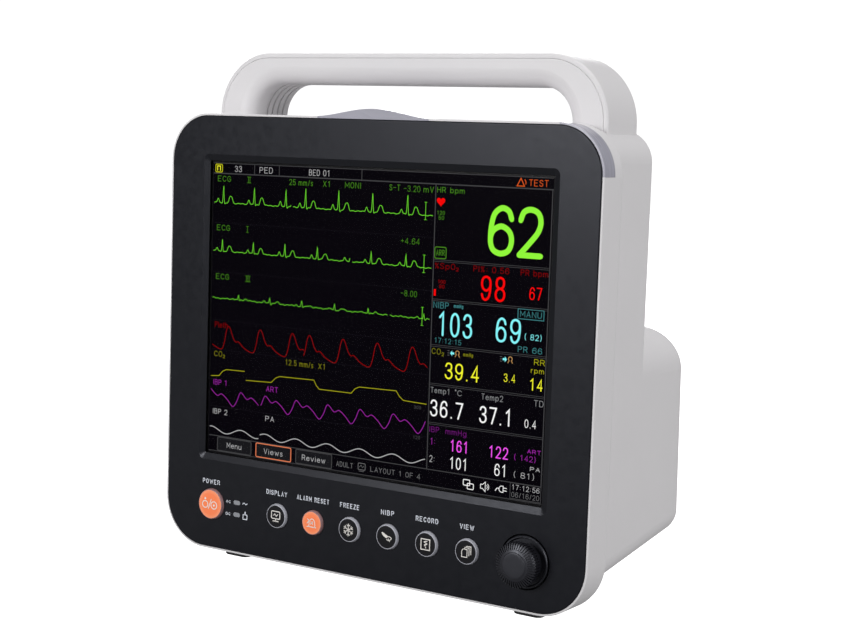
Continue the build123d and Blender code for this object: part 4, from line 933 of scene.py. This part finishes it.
def invasive_pressure():
    plum, magenta, violet, white, text = (lit(name) for name in ("plum", "magenta", "violet", "white", "text"))
    plum.words((94.6, 98.0), (("IBP", 45.9, 52.8), ("mmHg", 57.2, 71.6)))
    violet.write("1:", (46.8, 50.4), (87.2, 91.2))
    magenta.words((84.8, 91.8), (("161", 60.6, 73.2), ("122", 87.0, 100.0)), 0.66)
    violet.write("ART", (112.5, 121.4), (90.3, 92.7))
    violet.write("( 142)", (103.8, 118.4), (85.5, 88.8), HAIR)
    text.write("2:", (46.6, 50.4), (76.8, 80.8))
    white.words((74.6, 81.7), (("101", 60.6, 73.0), ("61", 91.3, 99.5)), 0.62)
    text.write("PA", (114.7, 121.2), (80.4, 82.8))
    text.write("( 81)", (103.8, 118.0), (75.4, 78.8), HAIR)


for draw in (top_bar, dividers, electrocardiogram, pulse_and_breath, pressure_traces, bottom_bar, column_frame,
             heart_rate, oxygen, cuff_pressure, breath, temperature, invasive_pressure):
    draw()
for colour_name, drawing in drawings.items():
    drawing.build("display_" + colour_name, glow("lit_" + colour_name, LIT[colour_name]), "housing")
backdrop = on_front(LCD_FRONT - 0.005, 0.02)
picture_middle = middle("lcd_panel").z
backdrop.rect((-PICTURE_W / 2, PICTURE_W / 2), (picture_middle - PICTURE_H / 2, picture_middle + PICTURE_H / 2))
backdrop.build("display_picture", glow("lit_background", shade(7, 5, 10)), "housing")

# ------------------------------------------------------------------ legends on the bezel
LEGEND = shade(238, 243, 254)
legend_ink = print_ink("legend_ink", LEGEND)
legends = on_front(-0.01, 0.03)
LEGEND_HEIGHT = (41.1, 44.2)
for word, centre, half in (("POWER", -117.3, 7.1), ("DISPLAY", -64.0, 8.2), ("ALARM RESET", -35.7, 12.4),
                           ("FREEZE", -7.8, 7.2), ("NIBP", 20.2, 4.8), ("RECORD", 48.4, 7.9), ("VIEW", 76.2, 4.9)):
    legends.write(word, (centre - half, centre + half), LEGEND_HEIGHT, 0.48, 0.36)
light_x = middle("status_light_pipes").x
legends.write("AC", (light_x - 8.8, light_x - 5.0), (30.8, 32.6), 0.34)
legends.write("DC", (light_x - 8.8, light_x - 5.0), (22.9, 24.7), 0.34)
legends.line(rounded([(light_x + 4.9, 31.6), (light_x + 6.0, 32.6), (light_x + 7.4, 31.6), (light_x + 8.6, 32.4)], 5),
             0.5)
legends.box((light_x + 5.4, light_x + 8.6), (22.1, 25.0), 0.55)
legends.line([(light_x + 7.0, 25.2), (light_x + 7.0, 26.8)], 0.9)
legends.build("bezel_legends", legend_ink, "housing")


# ------------------------------------------------------------------ key faces and their symbols
def power_symbol(pen):
    pen.line(arc(-2.8, -0.3, 1.55, 0, 342, 19), 0.42, closed=True)
    pen.disc(-2.8, 2.3, 0.5)
    pen.line([(-1.0, -2.2), (0.6, 2.2)], 0.42)
    pen.line(arc(2.2, -0.3, 1.65, 0, 342, 19), 0.42, closed=True)
    pen.disc(2.2, -0.3, 0.5)


def display_symbol(pen):
    pen.box((-2.7, 2.7), (-1.2, 2.6), 0.5, 0.6)
    pen.line([(-1.3, 0.4), (-0.5, 1.3), (0.4, 0.1), (1.3, 1.1)], 0.42)
    pen.line([(-1.7, -2.5), (1.7, -2.5)], 0.55)
    pen.line([(0.0, -1.4), (0.0, -2.4)], 0.5)


def alarm_symbol(pen):
    pen.line([(-2.9, -2.0), (2.9, -2.0)], 0.45)
    pen.line(rounded([(-1.6, -1.8), (-1.3, 0.9), (0.4, 2.2), (1.9, 0.9), (2.1, -1.8)], 5), 0.45)
    pen.line([(-2.6, 1.9), (-1.4, 1.1), (-2.7, -0.4)], 0.45)
    pen.line([(-0.5, 0.8), (0.9, -0.6)], 0.4)
    pen.line([(0.9, 0.8), (-0.5, -0.6)], 0.4)


def freeze_symbol(pen):
    for turn in range(6):
        angle = math.radians(90 + 60 * turn)
        out = (math.cos(angle), math.sin(angle))
        side = (-out[1], out[0])
        pen.line([(0.3 * out[0], 0.3 * out[1]), (3.0 * out[0], 3.0 * out[1])], 0.5)
        fork = [(2.6 * out[0] + 0.9 * side[0], 2.6 * out[1] + 0.9 * side[1]), (1.7 * out[0], 1.7 * out[1]),
                (2.6 * out[0] - 0.9 * side[0], 2.6 * out[1] - 0.9 * side[1])]
        pen.line(fork, 0.42)


def pressure_symbol(pen):
    pen.shape([(-2.9, 2.0), (-2.1, 0.6), (0.2, -0.6), (1.0, 0.6), (-1.2, 1.8), (-2.2, 2.3)])
    pen.line(rounded([(0.8, 0.2), (1.8, 0.5), (3.0, -0.2), (2.6, -0.9), (1.4, -1.5), (0.2, -1.1)], 4), 0.45)
    pen.line([(1.2, -0.6), (2.0, -1.9)], 0.42)


def record_symbol(pen):
    pen.box((-2.5, 2.5), (-2.6, 2.6), 0.5)
    pen.line(rounded([(0.9, 1.7), (-0.7, 1.2), (0.9, 0.3), (-0.5, -0.3), (0.2, -0.9)], 5), 0.5)
    pen.line([(0.2, -0.9), (0.2, -1.7)], 0.5)


def view_symbol(pen):
    for step, (du, dv) in enumerate(((1.5, 1.0), (0.5, 0.3), (-0.6, -0.6))):
        page = [(du - 1.6, dv + 1.0), (du - 0.9, dv + 1.9), (du + 1.4, dv + 1.9), (du + 1.4, dv - 1.9)]
        if step == 2:
            page += [(du - 1.6, dv - 1.9)]
        pen.line(page, 0.42, closed=step == 2)


SYMBOLS = {
    "power_key": power_symbol, "display_key": display_symbol, "alarm_reset_key": alarm_symbol,
    "freeze_key": freeze_symbol, "pressure_key": pressure_symbol, "record_key": record_symbol,
    "view_key": view_symbol,
}
KEY_FLANGE = 1.2
symbol_ink = print_ink("symbol_ink", shade(250, 246, 240))
for name, symbol in SYMBOLS.items():
    low, high = limits(name)
    centre_x, centre_h = (low.x + high.x) / 2, (low.z + high.z) / 2
    face_depth = low.y
    orange = name in ("power_key", "alarm_reset_key")
    margin = 0.9 if orange else 0.95
    radius = (high.x - low.x) / 2 - KEY_FLANGE - margin
    centre = spot(centre_x, face_depth, centre_h)
    # Each face is lighter at its rim, a painted light; the orange faces also glow faintly (0.13), a painted glow.
    if orange:
        cover = key_face(name + "_print", shade(254, 136, 88), shade(255, 160, 118), centre, radius, 0.13)
    else:
        cover = key_face(name + "_print", shade(17, 17, 21), shade(21, 21, 26), centre, radius)
    lathe(name + "_face", centre, -BACK, [(0, 0.05), (radius - 0.3, 0.05), (radius - 0.05, 0.035), (radius, 0.0),
                                          (0, 0.0)], cover, name)
    size = 1.45 if name == "power_key" else 1.22
    pen = Drawing(spot(centre_x, face_depth - 0.05, centre_h), RIGHT * size, UP * size, 0.03 / size ** 2)
    symbol(pen)
    pen.build(name + "_symbol", symbol_ink, name)


# ------------------------------------------------------------------ sensor panel
PANEL_INK = print_ink("panel_ink", shade(92, 96, 106))
LEFT_FACE = limits("connector_panel")[0].x
ROW_DEPTH = middle("ecg_socket").y
RING_COLOURS = {
    "green": shade(70, 150, 84), "blue": shade(54, 96, 176), "brown": shade(132, 92, 62), "red": shade(186, 58, 54),
    "yellow": shade(214, 182, 62), "grey": shade(158, 162, 168),
}
ring_inks = {name: plastic("ring_" + name, colour, 0.4, 0.4, 0.01) for name, colour in RING_COLOURS.items()}
# Each socket's legend, its height, the radius of its mouth, its number of contacts and its ring's colour.
SENSOR_SOCKETS = [
    ("ECG", 219, 7.4, 6, "green"), ("SpO2", 192, 6.4, 5, "blue"), ("T1", 171, 3.0, 0, "brown"),
    ("T2", 155, 3.0, 0, "brown"), ("IBP1", 135, 5.4, 4, "red"), ("IBP2", 113, 5.4, 4, "red"),
    ("CO2", 90, 6.4, 5, "yellow"), ("NIBP", 60, 6.4, 0, "grey"),
]
RING_REACH = 2.5
PANEL_LOW, PANEL_HIGH = 43.0, 237.0
FLANGE_FACE = limits("ecg_socket")[0].x
CONTACT_TIPS = LEFT_FACE + 4.6
CONTACT_PROFILE = [(0.64, -5.0), (0.64, 0.0), (0.45, 0.35), (0.0, 0.45)]
JACK_PROFILE = [(1.44, -5.0), (1.44, 0.0), (1.1, 0.4), (0.6, 0.4), (0.6, 0.0), (0.0, 0.0)]
panel_words = on_left(LEFT_FACE - 0.01, 0.03)
space_top = PANEL_HIGH
for legend, height, mouth, contacts, colour_name in SENSOR_SOCKETS:
    label = legend.lower()
    lathe(label + "_ring", spot(FLANGE_FACE, ROW_DEPTH, height), -RIGHT,
          [(mouth + 0.9, -0.02), (mouth + 1.1, 0.22), (mouth + 2.2, 0.22), (mouth + RING_REACH, -0.02)],
          ring_inks[colour_name], "housing")
    half = len(legend) * 0.85
    line_height = (space_top + height + mouth + RING_REACH) / 2
    panel_words.write(legend, (-ROW_DEPTH - half, -ROW_DEPTH + half), (line_height - 1.2, line_height + 1.2), 0.34)
    space_top = height - mouth - RING_REACH
    reach = 0.5 * (mouth + 1.6)
    for turn in range(contacts):
        angle = 2 * math.pi * turn / contacts
        tip = spot(CONTACT_TIPS, ROW_DEPTH + reach * math.cos(angle), height + reach * math.sin(angle))
        lathe(f"{label}_contact_{turn + 1}", tip, -RIGHT, CONTACT_PROFILE, materials["gold"], "housing",
              16)
    if mouth < 4:
        lathe(label + "_jack_tip", spot(CONTACT_TIPS, ROW_DEPTH, height), -RIGHT, JACK_PROFILE, materials["gold"],
              "housing", 24)
panel_words.build("sensor_panel_words", print_ink("panel_light_ink", shade(210, 214, 220)), "housing")
panel_legends = on_left(LEFT_FACE - 0.01, 0.03)
panel_legends.box((-55.6, -30.4), (PANEL_LOW, PANEL_HIGH), 0.35, 1.5)
panel_legends.shape(heart(-61.6, 219.0, 0.13, 0.13, 30))
panel_legends.build("sensor_panel_legends", PANEL_INK, "housing")

# ------------------------------------------------------------------ recorder door
DOOR_FACE = limits("recorder_door")[0].x
door_marks = on_left(DOOR_FACE - 0.01, 0.03)
door_marks.line([(-91.8, 84.6), (-93.8, 84.6), (-93.8, 80.4), (-84.2, 80.4), (-84.2, 84.6), (-86.2, 84.6)], 0.45)
door_marks.line([(-91.8, 82.6), (-91.8, 89.6), (-86.2, 89.6), (-86.2, 82.6), (-91.8, 82.6)], 0.45)
door_marks.line([(-90.6, 87.4), (-89.6, 87.4), (-89.0, 88.4), (-88.4, 86.4), (-87.4, 87.4)], 0.35)
door_marks.line([(-90.4, 84.8), (-87.6, 84.8)], 0.35)
door_marks.build("recorder_door_marks", PANEL_INK, "recorder_door")
button_mark = on_left(limits("recorder_button")[0].x - 0.01, 0.03)
button_mark.shape([(-90.6, 97.0), (-87.4, 97.0), (-89.0, 99.6)])
button_mark.line([(-90.6, 96.2), (-87.4, 96.2)], 0.4)
button_mark.build("recorder_button_mark", symbol_ink, "release_button")

# ------------------------------------------------------------------ rear connector bay
PLATE_FACE = limits("rear_io_plate")[1].y
rear_marks = on_rear(PLATE_FACE + 0.01, 0.03)
rear_ink = print_ink("rear_ink", shade(214, 216, 220))
for text, x, height, half, tall in (("100-240 V  50/60 Hz  70 VA", -90.0, 98.2, 19.0, 1.9),
                                    ("T 2 A", -68.6, 93.0, 4.2, 1.7)):
    rear_marks.write(text, (-x - half, -x + half), (height, height + tall), 0.28)
for height in (90.0, 68.0):
    rear_marks.box((61.2, 66.4), (height - 1.0, height + 1.0), 0.3)
    rear_marks.line([(60.2, height), (67.4, height)], 0.3)
rear_marks.line(arc(34.0, 52.8, 1.9, 0, 340, 20), 0.3, closed=True)
rear_marks.line([(34.0, 54.2), (34.0, 52.6)], 0.3)
for half, height in ((1.2, 52.6), (0.8, 52.0), (0.4, 51.4)):
    rear_marks.line([(34.0 - half, height), (34.0 + half, height)], 0.3)
rear_marks.box((29.6, 32.4), (102.2, 103.8), 0.3)
for u in (27.0, 31.0, 35.0):
    rear_marks.line([(u, 101.6), (u, 101.0)], 0.3)
rear_marks.line([(27.0, 101.6), (35.0, 101.6)], 0.3)
rear_marks.line([(21.0, 65.0), (21.0, 67.6)], 0.35)
rear_marks.shape([(20.3, 67.2), (21.7, 67.2), (21.0, 68.4)])
rear_marks.line([(19.6, 66.8), (19.6, 66.0), (21.0, 65.4)], 0.3)
rear_marks.line([(22.4, 66.6), (22.4, 65.8), (21.0, 65.2)], 0.3)
rear_marks.build("rear_plate_marks", rear_ink, "housing")


def bars(name, blocks, material, body):
    """Small blocks, each given by its limits in x, depth and height, with slightly broken edges."""
    bm = bmesh.new()
    for x, depth, height in blocks:
        made = bmesh.ops.create_cube(bm, size=1.0)["verts"]
        size = Vector((x[1] - x[0], depth[1] - depth[0], height[1] - height[0])) * MM
        bmesh.ops.scale(bm, vec=size, verts=made)
        place = spot((x[0] + x[1]) / 2, (depth[0] + depth[1]) / 2, (height[0] + height[1]) / 2)
        bmesh.ops.translate(bm, vec=place, verts=made)
        edges = {edge for vertex in made for edge in vertex.link_edges}
        bmesh.ops.bevel(bm, geom=list(edges), offset=min(size) * 0.15, segments=2, affect="EDGES", profile=0.5)
    return piece(name, finished(bm, name), material, body, 40)


inlet = middle("mains_inlet")
PIN_HALF_W, PIN_HALF_H = 1.08, 2.08
pins = [((inlet.x + dx - PIN_HALF_W, inlet.x + dx + PIN_HALF_W), (112.0, 126.2),
         (inlet.z + dz - PIN_HALF_H, inlet.z + dz + PIN_HALF_H)) for dx, dz in ((-7, -2), (0, 2), (7, -2))]
bars("mains_pins", pins, materials["bright_steel"], "housing")
NETWORK_PITCH, USB_PITCH = 1.02, 2.5
springs = [((-34.9 + NETWORK_PITCH * step, -34.5 + NETWORK_PITCH * step), (114.0, 121.0), (89.75, 90.15))
           for step in range(8)]
bars("network_contacts", springs, materials["gold"], "housing")
blades = [((-21.4, -21.18), (114.0, 123.6), (71.6 + USB_PITCH * step, 72.8 + USB_PITCH * step)) for step in range(4)]
bars("usb_contacts", blades, materials["gold"], "housing")


def painted_drive_shade(name, x, depth, height, radius):
    """A flat dark six-lobed shape: painted shade for the hollow drive socket of a screw that is seen from behind."""
    pen = on_rear(depth + 0.01, 0.02)
    outline = []
    for i in range(48):
        turn = 2 * math.pi * i / 48
        reach = radius * (0.8 + 0.2 * math.cos(6 * turn))
        outline.append((-x + reach * math.cos(turn), height + reach * math.sin(turn)))
    pen.shape(outline)
    pen.build(name, materials["black"], "housing")


SCREW_HEADS = limits("rear_housing")[0].y + 5.4
# Each casing screw's drive socket is a flat dark shape of painted shade.
for number, (x, height) in enumerate(((-136, 36), (-136, 248), (136, 36), (136, 248)), 1):
    painted_drive_shade(f"casing_screw_painted_shade_{number}", x, SCREW_HEADS, height, 1.9)
for number, x in enumerate((inlet.x - 20, inlet.x + 20), 1):
    face = spot(x, limits("mains_inlet")[1].y, inlet.z)
    lathe(f"inlet_screw_{number}", face, BACK,
          [(1.6, -2.0), (1.6, 0.0), (3.0, 0.1), (2.9, 0.5), (1.8, 1.1), (0.0, 1.25)], materials["bright_steel"],
          "housing", 32)

# ------------------------------------------------------------------ dust gauze behind the vents and the loudspeaker
gauze_metal = metal("gauze_wire", shade(70, 71, 74), 0.4)


def gauze(name, x, depth, height, pitch, inside=lambda u, v: True):
    """Woven wire cloth: round wires in two directions that pass over and under each other."""
    bm = bmesh.new()
    wire = 0.16
    columns = int((x[1] - x[0]) / pitch)
    rows = int((height[1] - height[0]) / pitch)

    def strand(crossings, along_x, along_z, first):
        """One wire through its crossings, where they lie inside."""
        run = [(x[0] + i * pitch, depth + wire * (first if (i + j) % 2 else -first), height[0] + j * pitch)
               for i, j in crossings]
        run = [point for point in run if inside(point[0], point[2])]
        if len(run) < 2:
            return
        section = ((-along_x, 0, -along_z), (0, -wire, 0), (along_x, 0, along_z), (0, wire, 0))
        rings = [[bm.verts.new(spot(u + du, d + dd, v + dv)) for du, dd, dv in section] for u, d, v in run]
        for one, two in zip(rings, rings[1:]):
            for i in range(4):
                k = (i + 1) % 4
                bm.faces.new([one[i], one[k], two[k], two[i]])

    for i in range(columns + 1):
        strand([(i, j) for j in range(rows + 1)], wire, 0, 1)
    for j in range(rows + 1):
        strand([(i, j) for i in range(columns + 1)], 0, wire, -1)
    return piece(name, finished(bm, name), gauze_metal, "housing", 60)


# Behind the handle's body the rear wall begins after 2.4 mm and ends after 5.4 mm.
REAR_WALL_INSIDE = limits("handle_body")[1].y + 2.4
UPPER_REAR = limits("handle_body")[1].y + 5.4
for side_name, centre_x in (("left", -92.0), ("right", 92.0)):
    gauze(side_name + "_vent_gauze", (centre_x - 38.4, centre_x + 38.4), REAR_WALL_INSIDE - 0.5, (178.0, 206.0), 0.8)
speaker_centre = middle("speaker")
gauze("loudspeaker_gauze", (speaker_centre.x - 20, speaker_centre.x + 20), limits("speaker")[1].y + 0.4,
      (speaker_centre.z - 20, speaker_centre.z + 20), 0.8,
      lambda u, v: math.hypot(u - speaker_centre.x, v - speaker_centre.z) < 19.6)

# ------------------------------------------------------------------ rating label on the back
card = on_rear(UPPER_REAR + 0.005, 0.06)
card.shape(arc(25.0, 235.0, 2, 0, 90, 6) + arc(-25.0, 235.0, 2, 90, 180, 6) + arc(-25.0, 209.0, 2, 180, 270, 6)
           + arc(25.0, 209.0, 2, 270, 360, 6))
card.build("rating_label", plastic("label_film", shade(204, 206, 210), 0.3, 0.8, 0.004, 0.03), "housing")
rating = on_rear(UPPER_REAR + 0.07, 0.02)
rating.line([(-24.6, 229.4), (24.6, 229.4)], 0.3)
for text, height, half, tall in (("PATIENT MONITOR", 231.4, 19.0, 2.6), ("INPUT 100-240 V", 225.2, 10.4, 1.8),
                                 ("50/60 Hz", 221.6, 5.8, 1.8), ("70 VA", 218.0, 3.6, 1.8)):
    rating.write(text, (-23.6, -23.6 + 2 * half), (height, height + tall), 0.3)
place = -23.6
for step in range(34):
    width = 0.22 + 0.2 * ((step * 7) % 4)
    rating.rect((place, place + width), (208.8, 213.0))
    place += width + 0.3 + 0.15 * ((step * 5) % 3)
rating.build("rating_label_print", PANEL_INK, "housing")
